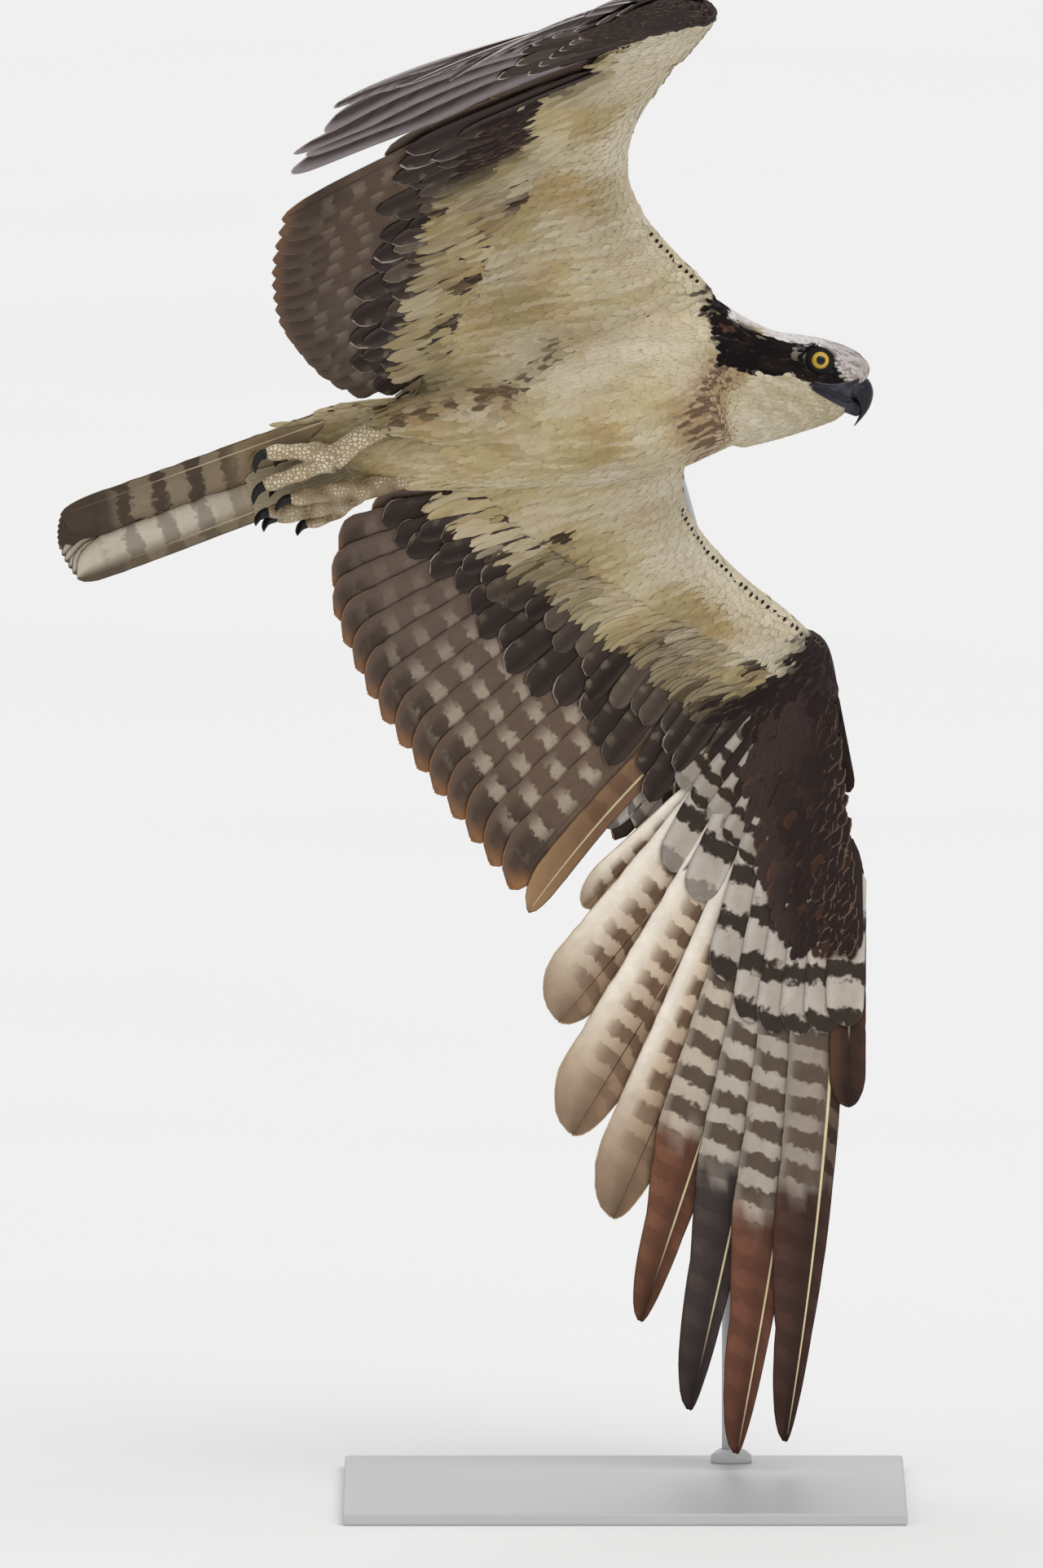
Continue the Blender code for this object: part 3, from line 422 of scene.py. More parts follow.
def wing_sheets(wing, side):
    """Maps from a wing's own coordinates to the bird's frame, for its arm and hand, and its axes."""
    front = smooth_through(wing["front"])
    rear = smooth_through(wing["secondary_tips"])
    rear_height = smooth_through(wing["rear_height"])
    wrist = Vector(wing["wrist"])
    front_height = smooth_through(((40, 0), (170, ELBOW_RISE), (wrist.y, wrist.z)))

    def arm(out, ahead, up):
        """out from the shoulder line, ahead of it, and up off the wing's middle."""
        reach = min(max(out, 40), 380)
        share = (front(min(reach, 300)) - ahead) / (front(min(reach, 300)) - rear(reach))
        rise = front_height(min(reach, wrist.y)) * (1 - share) + rear_height(reach) * share
        camber = CAMBER * 4 * share * (1 - share) if share < 1 else 0
        return (ahead, side * out, rise + camber + up)

    outward = (Vector(wing["longest_primary"]) - wrist).normalized()
    upward = outward.cross(Vector(wing["inmost_primary"]) - wrist).normalized()
    backward = upward.cross(outward)
    if backward.x > 0:
        backward = -backward
    if upward.z < 0:
        upward = -upward

    def hand(out, back, up):
        """out along the hand, back across it, and up off it, from the wrist."""
        reach = min(max(out / HAND_REACH, 0), 1)
        curl = wing["hand_bow"] * 4 * reach * (1 - reach)
        back *= 1 + wing["fan"] * max(0, back / FAN_WIDTH) ** 2
        curl += TIP_LIFT * reach**2 * math.sin(math.pi * min(max(back / FAN_WIDTH, 0), 1))
        curl += PALM_CURL * math.sin(math.pi * min(max(back / 160, 0), 1))
        point = wrist + outward * out + backward * back + upward * (up + curl)
        return (point.x, side * point.y, point.z)

    across = UP_AT_WRIST.cross((Vector(wing["parting"]) - wrist).normalized()).normalized()
    if across.y < 0:
        across = -across
    axes = {"out": outward, "back": backward, "up": upward, "across": across, "wrist": wrist}
    axes = {name: np.array(axis) * (1, side, 1) for name, axis in axes.items()}
    return SimpleNamespace(arm=arm, hand=hand, front=front, rear=rear, **axes)


WINGS = {side: wing_sheets(wing, side) for side, _, wing, _ in SIDES}
lining_end = smooth_through(LINING_END)


def flesh_ring(place, out, lead, back, depths):
    """A ring round a wing's flesh, from its front edge over the top to the rear and back below."""
    upper = [place(out, lead + (back - lead) * share, depth) for share, depth in depths]
    lower = [place(out, lead + (back - lead) * share, -depth) for share, depth in depths]
    return upper + lower[:0:-1]


def flat_ring(x, half, above, below, sides, squareness=1.0):
    """An oval that stands across the body at x."""
    return np.c_[np.full(sides, x), oval(half, above, below, sides, squareness)]


torso_rings = [flat_ring(*row, 48) for row in through(TORSO, 4)]
head_rings = [from_head(flat_ring(*row, 48, 0.92)) for row in through(HEAD, 4)]
leaving, arriving = np.array((1.0, 0, 0)), HEAD_TURN @ (1.0, 0, 0)
span = np.linalg.norm(head_rings[0].mean(0) - torso_rings[-1].mean(0))
# The neck starts and ends a little inside the torso and the head
steps_along = np.linspace(-0.02, 1.02, 16)
neck_rings = [cubic(t, span, torso_rings[-1], leaving, head_rings[0], arriving) for t in steps_along]
flesh = [closed_loft(torso_rings), closed_loft(neck_rings), closed_loft(head_rings)]
thick_at = smooth_through(ARM_THICKNESS)
for side, _, _, leg in SIDES:
    wing = WINGS[side]
    arm_rings = []
    for out in np.linspace(40, 308, 24):
        # The front edge is round, and the flesh thins evenly behind its thickest place
        depths = [(0, 0)]
        for share in (0.02, 0.06, 0.14, 0.24, 0.4, 0.6, 0.8, 0.94, 1):
            if share < THICKEST_AT:
                depth = thick_at(out) * math.sqrt(min(1, share / THICKEST_AT))
            else:
                full = 1 - (share - THICKEST_AT) / (1 - THICKEST_AT)
                depth = REAR_THICKNESS + (thick_at(out) - REAR_THICKNESS) * full
            depths.append((share, depth))
        lead = wing.front(out) - 16 * max(0, (out - 280) / 28) ** 2
        arm_rings.append(flesh_ring(wing.arm, out, lead, lining_end(out) + 8, depths))
    hand_rings = []
    for out, lead, back, thick in through(HAND_SECTIONS, 4):
        depths = [(0, 0)]
        for share in (0.04, 0.12, 0.3, 0.55, 0.8, 1):
            depths.append((share, thick * (0.9 * math.sqrt(min(1, share / 0.2)) * (1 - 0.5 * share))))
        hand_rings.append(flesh_ring(wing.hand, out, lead, back, depths))
    # The wrist joint fills the notch between the arm and the hand
    wrist_path = [wing.arm(274, wing.front(274) - 13, 0), wing.hand(-2, 10, 0), wing.hand(28, 1, 0)]
    flesh.append(tube(through(wrist_path, 6), WRIST_RADIUS, 16, 0.9))
    flesh += [closed_loft(arm_rings), closed_loft(hand_rings)]
    thigh = through([(x, side * y, z) for x, y, z in leg["thigh"]], 5)
    flesh.append(tube(thigh, through_values(THIGH_RADII, 5), 20))
    brow = through([EYE_AT * (1, side, 1) + (x, side * y, z) for x, y, z in BROW], 4)
    flesh.append(tube(from_head(brow), 2.6 * np.sin(np.linspace(0.25, 2.9, len(brow))), 10))

tail_axis = np.array((TAIL_TIP - TAIL_ROOT).normalized())
tail_up = np.cross(tail_axis, (0, 1, 0))
tail_up *= np.sign(tail_up[2])
TAIL_LENGTH = (TAIL_TIP - TAIL_ROOT).length


def tail_sheet(out, back, up):
    """A place on the tail: out to its left, back along it and up off it."""
    return np.array(TAIL_ROOT) + np.array((0, 1, 0)) * out + tail_axis * back + tail_up * up


tail_rings = []
for back, half, above, below in TAIL_BASE:
    tail_rings.append([tail_sheet(out + TAIL_ROOT_OFF, back, up) for out, up in oval(half, above, below, 24)])
flesh.append(closed_loft(tail_rings))

skin = mesh_from("skin", *joined(flesh))
apply_modifier(skin, "REMESH", mode="VOXEL", voxel_size=VOXEL, use_smooth_shade=True)
apply_modifier(skin, "SMOOTH", factor=0.5, iterations=4)
apply_modifier(skin, "DISPLACE", strength=-COAT_DEPTH, mid_level=0.0, direction="NORMAL")


def skin_arrays(obj):
    """A mesh's points, normals and triangles, as arrays in the bird's frame."""
    mesh = obj.data
    points, normals = np.zeros(len(mesh.vertices) * 3), np.zeros(len(mesh.vertices) * 3, np.float32)
    mesh.vertices.foreach_get("co", points)
    mesh.vertex_normals.foreach_get("vector", normals)
    mesh.calc_loop_triangles()
    faces = np.zeros(len(mesh.loop_triangles) * 3, np.int32)
    mesh.loop_triangles.foreach_get("vertices", faces)
    return points.reshape(-1, 3), normals.reshape(-1, 3).astype(float), faces.reshape(-1, 3)


# The eyes sit in sockets: the skin sinks round each, so that the ball and its lids stand clear
SOCKET_RADIUS, SOCKET_WALL, SOCKET_DEPTH = 9.5, 3.0, 5.0
skin_points, skin_normals, skin_faces = skin_arrays(skin)
for side in (1, -1):
    from_eye = to_head(skin_points) - EYE_AT * (1, side, 1)
    spread = np.hypot(from_eye[:, 0], from_eye[:, 2])
    near = (spread < SOCKET_RADIUS) & (from_eye[:, 1] * side > -3)
    sunk = SOCKET_DEPTH * np.clip((SOCKET_RADIUS - spread) / SOCKET_WALL, 0, 1)
    skin_points[near] -= np.outer(side * sunk[near], HEAD_TURN @ (0, 1, 0))
# The forehead's short stiff feathers stand up over the root of the bill
in_head = to_head(skin_points)
puffed = 3.2 * np.clip((in_head[:, 0] - 12) / 16, 0, 1) * np.clip(in_head[:, 2] / 9, 0, 1)
skin_points += skin_normals * puffed[:, None]
over_bill = 4.2 * np.clip((in_head[:, 0] - 24) / 10, 0, 1) * np.clip((in_head[:, 2] + 1) / 6, 0, 1)
skin_points += np.outer(over_bill, HEAD_TURN @ (1, 0, -0.12))
skin.data.vertices.foreach_set("co", skin_points.astype(np.float32).ravel())
skin.data.update()
skin_points, skin_normals, skin_faces = skin_arrays(skin)
skin_tree = BVHTree.FromPolygons(skin_points.tolist(), skin_faces.tolist())


# The coat's markings. An osprey is white to cream below, stained with ochre and olive, with a band
# of brown streaks on the breast and along the flank, a blackish stripe through the eye on a white
# head, a dark patch under each wrist, and dark brown above with pale feather edges.

CREAM, WHITE, OLIVE, OCHRE = (linear(c) for c in ("#BFAF85", "#E2DAC8", "#A08D62", "#B08A58"))
STREAK_BROWN, RUFOUS, STRIPE_BLACK = (linear(c) for c in ("#46342A", "#85593D", "#1A1516"))
MANTLE, MANTLE_EDGE, CARPAL, CARPAL_WARM = (linear(c) for c in ("#2E2420", "#7E6C59", "#322826", "#463935"))
HEAD_GREY, PINKISH, THROAT, CROWN = (linear(c) for c in ("#B9B0AD", "#A0856C", "#C0B497", "#E2DEDD"))
SMUDGE_PALE, SMUDGE_DARK = linear("#94876C"), linear("#4F4136")


def ripple(points, scale, seed):
    """Smooth clouds between 0 and 1 over the points, about scale millimetres across."""
    draw = np.random.default_rng(seed)
    total = np.zeros(len(points))
    for _ in range(5):
        direction = draw.normal(size=3)
        direction /= np.linalg.norm(direction)
        wave_length = scale * draw.uniform(0.7, 1.5)
        total += np.sin(points @ direction * 2 * math.pi / wave_length + draw.uniform(0, 6.28))
    return np.clip(0.5 + total / 4.6, 0, 1)


def step(values, low, high):
    """0 below low and 1 above high, smoothly; low may be the larger."""
    t = np.clip((values - low) / (high - low), 0, 1)
    return t * t * (3 - 2 * t)


def mix(a, b, share):
    """Colour a where share is 0 and colour b where it is 1."""
    share = np.asarray(share, float)[..., None]
    return a * (1 - share) + b * share


def near_path(points, path, radius):
    """How near points are to a line through path: 1 on it and 0 at radius."""
    path = np.asarray(path, float)
    best = np.full(len(points), 1e9)
    for a, b in zip(path[:-1], path[1:]):
        t = np.clip((points - a) @ (b - a) / ((b - a) @ (b - a)), 0, 1)
        best = np.minimum(best, np.linalg.norm(points - a - t[:, None] * (b - a), axis=1))
    return np.clip(1 - best / radius, 0, 1)


FLANK_STREAK = ((-50, -58, -13), (-74, -50, -26), (-97, -46, -34), (-129, -52, -36), (-156, -50, -33))
BREAST_BAND = ((49, -22, -38), (36, -24, -52), (26, -14, -61), (30, 4, -63), (28, 22, -58))
WHITE_BREAST = (
    (0.8, ((-60, -50, -22), (10, -52, -30), (42, -42, -18)), 36),
    (0.75, ((-40, 36, -40), (30, 36, -44)), 30),
)
LINING_SPOTS = {
    1: ((123, -73, 6), (120, -122, 7), (132, -118, 5), (280, 20, 5), (172, -92, 5)),
    -1: ((209, -103, 6), (165, -120, 6), (182, -53, 5), (130, -96, 5), (98, -120, 5)),
}
EYE_STRIPE = (
    # ahead in the head, height of its middle, half its height
    (-46, 1, 14), (-38, 0.5, 12), (-27, 0.5, 12), (-12, 2.8, 10.4), (-3, 5.6, 10),
    (8, 6.6, 11.6), (15, 4.6, 11), (22, 0.2, 8.5), (28, -3.5, 7), (36, -6, 6.0),
)
HEAD_BEGINS = -24
BODY, HEAD_COAT, NECK, ARM, HAND = range(5)


def regions(points):
    """Which part of the bird each point lies on, its wing's side, and its place in the head's frame."""
    side = np.where(points[:, 1] > 0, 1, -1)
    region = np.full(len(points), BODY)
    in_head, out = to_head(points), np.abs(points[:, 1])
    region[(points[:, 0] > 32) & (out < 66)] = NECK
    region[(in_head[:, 0] > HEAD_BEGINS) & (np.abs(in_head[:, 1]) < 40) & (points[:, 0] > 50)] = HEAD_COAT
    region[(out > 66) & (region != HEAD_COAT)] = ARM
    for s, wing in WINGS.items():
        region[((points - wing.wrist) @ wing.across > 0) & (side == s) & (out > 250)] = HAND
    return region, side, in_head


def mid_height(points, side):
    """Height of each point above the middle surface of its arm."""
    middle = [WINGS[s].arm(abs(point[1]), point[0], 0)[2] for point, s in zip(points, side)]
    return points[:, 2] - np.array(middle)


def front_edge(points, wing):
    """How far ahead a wing's front edge lies at each point."""
    return np.array([wing.front(min(out, 300)) for out in np.abs(points[:, 1])])


def coat_colours(points):
    """Ground, tip and shaft colours, fringe widths and darkness of small feathers rooted at points."""
    region, side, in_head = regions(points)
    clouds, patches, fine = ripple(points, 70, 1), ripple(points, 38, 2), ripple(points, 11, 3)
    # Streaks run the way the feathers lie, about six times as long as they are wide
    streaks = ripple(points * (0.16, 1, 1), 8, 5)
    out, ahead = np.abs(points[:, 1]), points[:, 0]
    ground = mix(CREAM, OLIVE, 0.8 * step(clouds, 0.1, 1.0))
    ground = mix(ground, OCHRE, 0.3 * step(patches, 0.5, 1.0))
    ground = mix(ground, WHITE, 0.3 * step(ripple(points, 55, 4), 0.35, 1.0))
    ground = mix(ground, OLIVE * 0.72, 0.3 * step(streaks, 0.5, 1.0))
    ground = mix(ground, WHITE, 0.22 * step(streaks, 0.45, 0.05))
    shaft, rim = ground * 0.94, np.zeros(len(points))

    # Body and neck: whiter along the keel, streaks on the breast and flank, dark back
    body, neck = (region == BODY) | (region == NECK), region == NECK
    keel = step(np.abs(points[:, 1] - 26), 26, 4) * step(ahead, -150, -20)
    whiter = np.where(body & (points[:, 2] < 0), 0.55 * keel, 0)
    for share, path, radius in WHITE_BREAST:
        whiter = np.maximum(whiter, share * near_path(points, path, radius))
    ground = mix(ground, WHITE, whiter * (0.75 + 0.25 * fine))
    ground = mix(ground, OLIVE * 0.85, 0.45 * (body * step(ahead, -120, -175)))
    flank = np.maximum(*[near_path(points * (1, s, 1), FLANK_STREAK, 13) for s in (1, -1)])
    flank = step(flank * (0.5 + 0.9 * streaks), 0.2, 0.6) * body
    near_band = near_path(points, BREAST_BAND, 26)
    band = step(near_band * (0.1 + 1.25 * ripple(points * (0.45, 1, 1), 4.2, 6)), 0.55, 0.68) * body
    ground = mix(ground, PINKISH, 0.8 * step(near_band, 0.05, 0.6) * body)
    ground = mix(ground, RUFOUS, 0.3 * flank)
    flank = flank * step(ripple(points * (0.6, 1, 1), 3.0, 8), 0.4, 0.6)
    ground = mix(ground, STREAK_BROWN, np.maximum(0.55 * flank, 0.5 * band))
    shaft = mix(shaft, STREAK_BROWN, np.maximum(0.95 * flank, 0.95 * band))
    # The dark of the back begins at this height, lower towards the tail
    line = np.where(ahead < 0, 10 - 0.12 * np.maximum(-90 - ahead, 0), 10 + 0.10 * ahead)
    dark = step(points[:, 2] + 5 * (fine - 0.5), line - 1, line + 3) * (region == BODY)
    collar = step(ahead + 6 * (fine - 0.5), 42, 49) * step(points[:, 2], -24, -16) * step(out, 16, 24)
    collar = np.maximum(collar, step(points[:, 2] - 0.12 * (60 - ahead), 2, 8) * step(ahead, 22, 30)) * neck
    dark = np.maximum(dark, collar)

    # Wings: cream lining, whiter in front and speckled at its edge, dark above, dark wrist patch
    arms, height = region == ARM, np.zeros(len(points))
    wings = np.where(region >= ARM)[0]
    height[wings] = mid_height(points[wings], side[wings])
    for s, wing in WINGS.items():
        here = np.where(arms & (side == s))[0]
        lead = front_edge(points[here], wing)
        chord = (lead - ahead[here]) / np.maximum(lead - np.array([lining_end(o) for o in out[here]]), 20)
        bright = 0.75 * step(chord + 0.3 * (clouds[here] - 0.5), 0.36, 0.12) * step(out[here], 60, 110)
        bright = np.maximum(bright, 0.8 * step(out[here], 236, 268) * step(chord, 0.75, 0.5))
        ground[here] = mix(ground[here], WHITE, bright)
        browner = step(chord + 0.5 * (clouds[here] - 0.5), 0.66, 0.98) * (0.9 if s > 0 else 0.5)
        browner = browner * step(out[here], 80, 130) if s > 0 else browner
        smudge = mix(SMUDGE_PALE, SMUDGE_DARK, step(ripple(points[here], 13, 17), 0.35, 0.75))
        ground[here] = mix(ground[here], smudge, browner * (0.3 + 0.7 * step(patches[here], 0.25, 0.75)))
        shaft[here] = mix(shaft[here], ground[here] * 0.7, browner)
        # Right wing: dark scalloped coverts reach further forward towards the wrist
        reach = (s < 0) * step(out[here], 205, 245)
        outer_dark = reach * step(chord + 0.3 * (patches[here] - 0.5), 1.08, 1.2)
        rim[here] = np.maximum(0.5 * browner, 0.5 * outer_dark * (fine[here] > 0.5))
        # The dark of the wrist patch runs a little way up the left arm's front edge
        reach = out[here] + 10 * (fine[here] - 0.5) - 20 * step(chord, 0.1, 0.5)
        for share in (outer_dark, (s > 0) * step(reach, 264, 276)):
            ground[here] = mix(ground[here], CARPAL, share)
            shaft[here] = mix(shaft[here], CARPAL * 0.7, share)
    dark = np.maximum(dark, step(height, 0.5, 2.5) * arms)
    for s, spots in LINING_SPOTS.items():
        lining = arms * (side == s) * (height < 0)
        for spot_out, spot_ahead, radius in spots:
            away = np.hypot(out - spot_out, (ahead - spot_ahead) * 0.7) + 4 * (fine - 0.5)
            spot = step(away, radius + 1.5, radius - 1.5) * lining
            ground, shaft = mix(ground, STREAK_BROWN, 0.9 * spot), mix(shaft, STRIPE_BLACK, spot)
            warm = step(away, radius + 9, radius + 1) * lining * (1 - spot)
            ground = mix(ground, OCHRE * 0.8, 0.5 * warm * step(fine, 0.5, 0.8))
    tip = ground * 1.06
    for s, wing in WINGS.items():
        off = points - wing.wrist
        along, back, up = off @ wing.out, off @ wing.back, off @ wing.up
        lined = (s > 0) & (back > 4) & (up < 2) & (along + 9 * (fine - 0.5) < 0.6 * back - 17)
        here = (region == HAND) & (side == s) & ~lined
        patch = mix(CARPAL, CARPAL_WARM, 0.85 * step(back + 16 * (patches - 0.5), 4, 30))
        patch = mix(patch, RUFOUS, 0.16 * step(ripple(points, 4, 14), 0.9, 1.0) * step(along + back, 60, 130))
        ground[here], tip[here], shaft[here] = patch[here], patch[here] * 1.12, patch[here] * 0.7
        rim[here] = (0.9 * step(back, 4, -12) if s > 0 else 0.3 + 0.7 * patches)[here]
        above = here & (up > 4)
        ground[above], tip[above], rim[above] = MANTLE, MANTLE, 0.8
    ground, tip = mix(ground, MANTLE, dark), mix(tip, MANTLE * 1.25, dark)
    shaft = mix(shaft, MANTLE * 0.6, dark)
    rim = np.where((dark > 0.5) & (collar < 0.5), 0.45, rim)
    ground, tip = mix(ground, STRIPE_BLACK, 0.8 * collar), mix(tip, STRIPE_BLACK, 0.8 * collar)
    shaft = mix(shaft, STRIPE_BLACK * 0.7, collar)

    # Head and hind neck: white crown, greyer and streaked at the forehead, buff throat, black stripe
    a, out_of_head, z = in_head[:, 0], np.abs(in_head[:, 1]), in_head[:, 2]
    on_head = (region == HEAD_COAT).astype(float)
    crown = step(z + 3 * (fine - 0.5) + 10 * step(a, 12, 24), 9, 15) * on_head
    nape = step(z, 13, 18) * neck * (a > -48)
    hairs = ripple(in_head * (0.14, 1, 1), 4.2, 12)
    throat = mix(THROAT, WHITE, 0.45 * step(a + 8 * (fine - 0.5), -8, -26) * step(z, 2, -10))
    throat = mix(throat, OLIVE, 0.3 * step(hairs, 0.5, 0.9))
    throat = mix(throat, WHITE, 0.35 * step(hairs, 0.45, 0.15) + 0.3 * step(z, -26, -38))
    white_crown = mix(CROWN, HEAD_GREY, 0.7 * step(a, 6, 22) + 0.3 * step(hairs, 0.6, 0.9))
    face = mix(mix(throat, white_crown, crown), white_crown, nape)
    on_head = np.maximum(on_head, nape)
    ground, tip = mix(ground, face, on_head), mix(tip, face * 1.04, on_head)
    shaft = mix(shaft, ground * 0.82, on_head)
    streaked = step(a, 6, 18) * crown * step(hairs, 0.55, 0.72)
    ground, shaft = mix(ground, STREAK_BROWN, 0.55 * streaked), mix(shaft, STREAK_BROWN, 0.8 * streaked)
    xs, middles, halves = zip(*EYE_STRIPE)
    off = (z - np.interp(a, xs, middles)) / np.interp(a, xs, halves) + 0.2 * (hairs - 0.5)
    stripe = step(np.abs(off), 1.08, 0.94) * (neck | (region == HEAD_COAT)) * (a > -50) * (out_of_head > 9)
    pale_nick = step(np.abs(a + 2.8), 1.9, 0.9) * step(np.abs(z - 9), 5, 3) * step(out_of_head, 14, 17)
    stripe = stripe * (1 - 0.3 * pale_nick)
    flecks = step(ripple(in_head * (0.3, 1, 1), 2.4, 9), 0.6, 0.8) * step(off, 0.0, 0.5)
    flecks = 0.4 * stripe * step(a, -28, -38) * flecks
    stripe_colour = mix(mix(STRIPE_BLACK, STREAK_BROWN, 0.12 * step(fine, 0.5, 0.9)), RUFOUS, flecks)
    ground, tip = mix(ground, stripe_colour, stripe), mix(tip, stripe_colour * 1.1, stripe)
    shaft = mix(shaft, stripe_colour * 0.6, stripe)
    rim = np.where(stripe > 0.5, 0, rim)
    return ground, tip, shaft, rim, np.maximum(dark, stripe)


def coat_lie(points):
    """The direction that small feathers point in at each place, before it is laid on the skin."""
    region, side, in_head = regions(points)
    lie = np.tile((-1.0, 0, 0), (len(points), 1))
    lie[(points[:, 0] < -150) & (points[:, 2] < -8) & (region == BODY)] = (-1.0, 0, -0.12)
    share = (step(in_head[:, 0], -70, -25) * ((region == HEAD_COAT) | (region == NECK)))[:, None]
    lie = lie * (1 - share) + HEAD_TURN @ (-1.0, 0, -0.12) * share
    for s, wing in WINGS.items():
        arm_lie = np.array((-1.0, 0.14 * s, 0))
        hand_lie = 0.86 * wing.out + 0.5 * wing.back
        turn = step((points - wing.wrist) @ wing.across, -50, 40)[:, None]
        here = (region >= ARM) & (side == s)
        lie[here] = (arm_lie * (1 - turn) + hand_lie * turn)[here]
    return lie


# Keratin of the feathers: dull, slightly silky, with barbs that run out from the shaft at a slant.
# Real barbs are 0.3 mm apart; here they are drawn 1 mm apart, so that they just show.

BARB_SPACING, BARB_SLANT = 1.0 * MM, 1.1


def feather_material(name, roughness, specular, barb_depth, barb_tint, mottle):
    """Vane colours from the piece's attributes, bars across it, a rim and barbs.

    The piece's Duty is how high the wave must be to show a bar: below zero for bars wider than gaps.
    """
    made, tree, shader, place = new_material(name)
    colours, numbers = ("Ground", "Mark", "Rim"), ("Turns", "Strength", "Edge", "RimWidth", "Duty")
    ground, mark, rim_colour = (node(tree, "Attribute", attribute_name=key) for key in colours)
    turns, strength, edge, rim_width, duty = (
        node(tree, "Attribute", attribute_name=key).outputs["Fac"] for key in numbers
    )
    # Bars: a wave along the feather, its edges broken by noise a few millimetres across
    wander = node(tree, "TexNoise", {"Vector": place, "Scale": 180.0, "Detail": 2.0})
    bent = node(tree, "Math", {0: wander, 1: 0.5, 2: turns}, operation="MULTIPLY_ADD")
    angle = node(tree, "Math", {0: bent, 1: 2 * math.pi}, operation="MULTIPLY")
    wave = node(tree, "Math", {0: angle}, operation="SINE")
    above = node(tree, "Math", {0: wave, 1: duty}, operation="SUBTRACT")
    bar = node(tree, "MapRange", {"Value": above, "From Max": 0.7}, interpolation_type="SMOOTHSTEP")
    barred = node(tree, "Math", {0: bar, 1: strength}, operation="MULTIPLY")
    colour = node(tree, "MixRGB", {"Fac": barred, "Color1": ground, "Color2": mark})
    # Rim: a band along the vane's edge, as wide as RimWidth says
    inside = node(tree, "Math", {0: rim_width, 1: edge}, operation="SUBTRACT")
    ragged = node(tree, "Math", {0: wander, 1: 1.4, 2: inside}, operation="MULTIPLY_ADD")
    band = {"Value": ragged, "From Min": 0.5, "From Max": 1.3}
    rimmed = node(tree, "MapRange", band, interpolation_type="SMOOTHSTEP")
    has_rim = node(tree, "Math", {0: rim_width, 1: 0.05}, operation="GREATER_THAN")
    rim_share = node(tree, "Math", {0: rimmed, 1: has_rim}, operation="MULTIPLY")
    colour = node(tree, "MixRGB", {"Fac": rim_share, "Color1": colour, "Color2": rim_colour})
    # Barbs: stripes that slant away from the shaft on both sides
    vane = node(tree, "SeparateXYZ", {0: node(tree, "UVMap", uv_map="Vane")})
    aside = node(tree, "Math", {0: vane.outputs["X"]}, operation="ABSOLUTE")
    slanted = node(tree, "Math", {0: aside, 1: -BARB_SLANT, 2: vane.outputs["Y"]}, operation="MULTIPLY_ADD")
    barb_line = node(tree, "Math", {0: slanted, 1: 1 / BARB_SPACING}, operation="MULTIPLY")
    barbs = node(tree, "TexNoise", {"W": barb_line, "Scale": 1.0, "Detail": 1.5}, noise_dimensions="1D")
    clouds = node(tree, "TexNoise", {"Vector": place, "Scale": 95.0, "Detail": 4.0, "Roughness": 0.6})
    light = node(tree, "MapRange", {"Value": barbs, "To Min": 1 - barb_tint, "To Max": 1 + barb_tint})
    cloud_range = {"From Min": 0.25, "From Max": 0.75, "To Min": 1 - mottle, "To Max": 1 + mottle}
    cloudy = node(tree, "MapRange", {"Value": clouds, **cloud_range})
    shade = node(tree, "Math", {0: light, 1: cloudy}, operation="MULTIPLY")
    grey = node(tree, "CombineXYZ", {0: shade, 1: shade, 2: shade})
    colour = node(tree, "MixRGB", {"Fac": 1.0, "Color1": colour, "Color2": grey}, blend_type="MULTIPLY")
    bump = node(tree, "Bump", {"Height": barbs, "Strength": 0.6, "Distance": barb_depth * MM})
    look = {"Base Color": colour, "Normal": bump, "Roughness": roughness, "Specular IOR Level": specular}
    feed(tree, shader, look)
    return made


down_keratin = feather_material("body feather keratin", 0.95, 0.1, 0.08, 0.06, 0.05)
vane_keratin = feather_material("flight feather keratin", 0.75, 0.12, 0.10, 0.07, 0.12)

colour_attribute(skin, "Ground", coat_colours(skin_points)[0])
# Bare skin under feathers: dull and a little uneven, seen only as a shade between the feathers
skin_look, tree, shader, place = new_material("feathered skin")
tone = node(tree, "TexNoise", {"Vector": place, "Scale": 220.0, "Detail": 3.0})
ground = node(tree, "Attribute", attribute_name="Ground")
uneven = {"Fac": tone, "Color1": ground, "Color2": linear("#C9C0B2")}
colour = node(tree, "MixRGB", uneven, blend_type="MULTIPLY")
bump = node(tree, "Bump", {"Height": tone, "Distance": 0.3 * MM, "Strength": 0.5})
feed(tree, shader, {"Base Color": colour, "Normal": bump, "Roughness": 0.9})
skin.data.materials.append(skin_look)


# The coat: about twenty-five thousand small feathers, each a thin closed blade of thirty triangles
# that is bent onto the skin, overlaps the next and lifts a little at its tip. They are smallest
# round the bill and eyes and longest on the back, the belly and behind the wing's lining.

FEATHER_STATIONS = np.array((0, 0.3, 0.62, 0.88))
FEATHER_WIDTHS = np.array((0.42, 0.92, 1.0, 0.62))
FEATHER_LIFTS = np.array((-0.4, 0.0, 0.22, 0.42))
TIP_LIFT_AT_END, BLADE_HALF_THICKNESS, BARB_STAGGER = 0.46, 0.08, 37
FRINGE = linear("#6E5B4C")
CERE_CORNER, CERE_FRONT, CERE_LOW, CERE_HIGH = 9.0, 36.0, (-9.5, -15.0), (-5.5, 4.5)
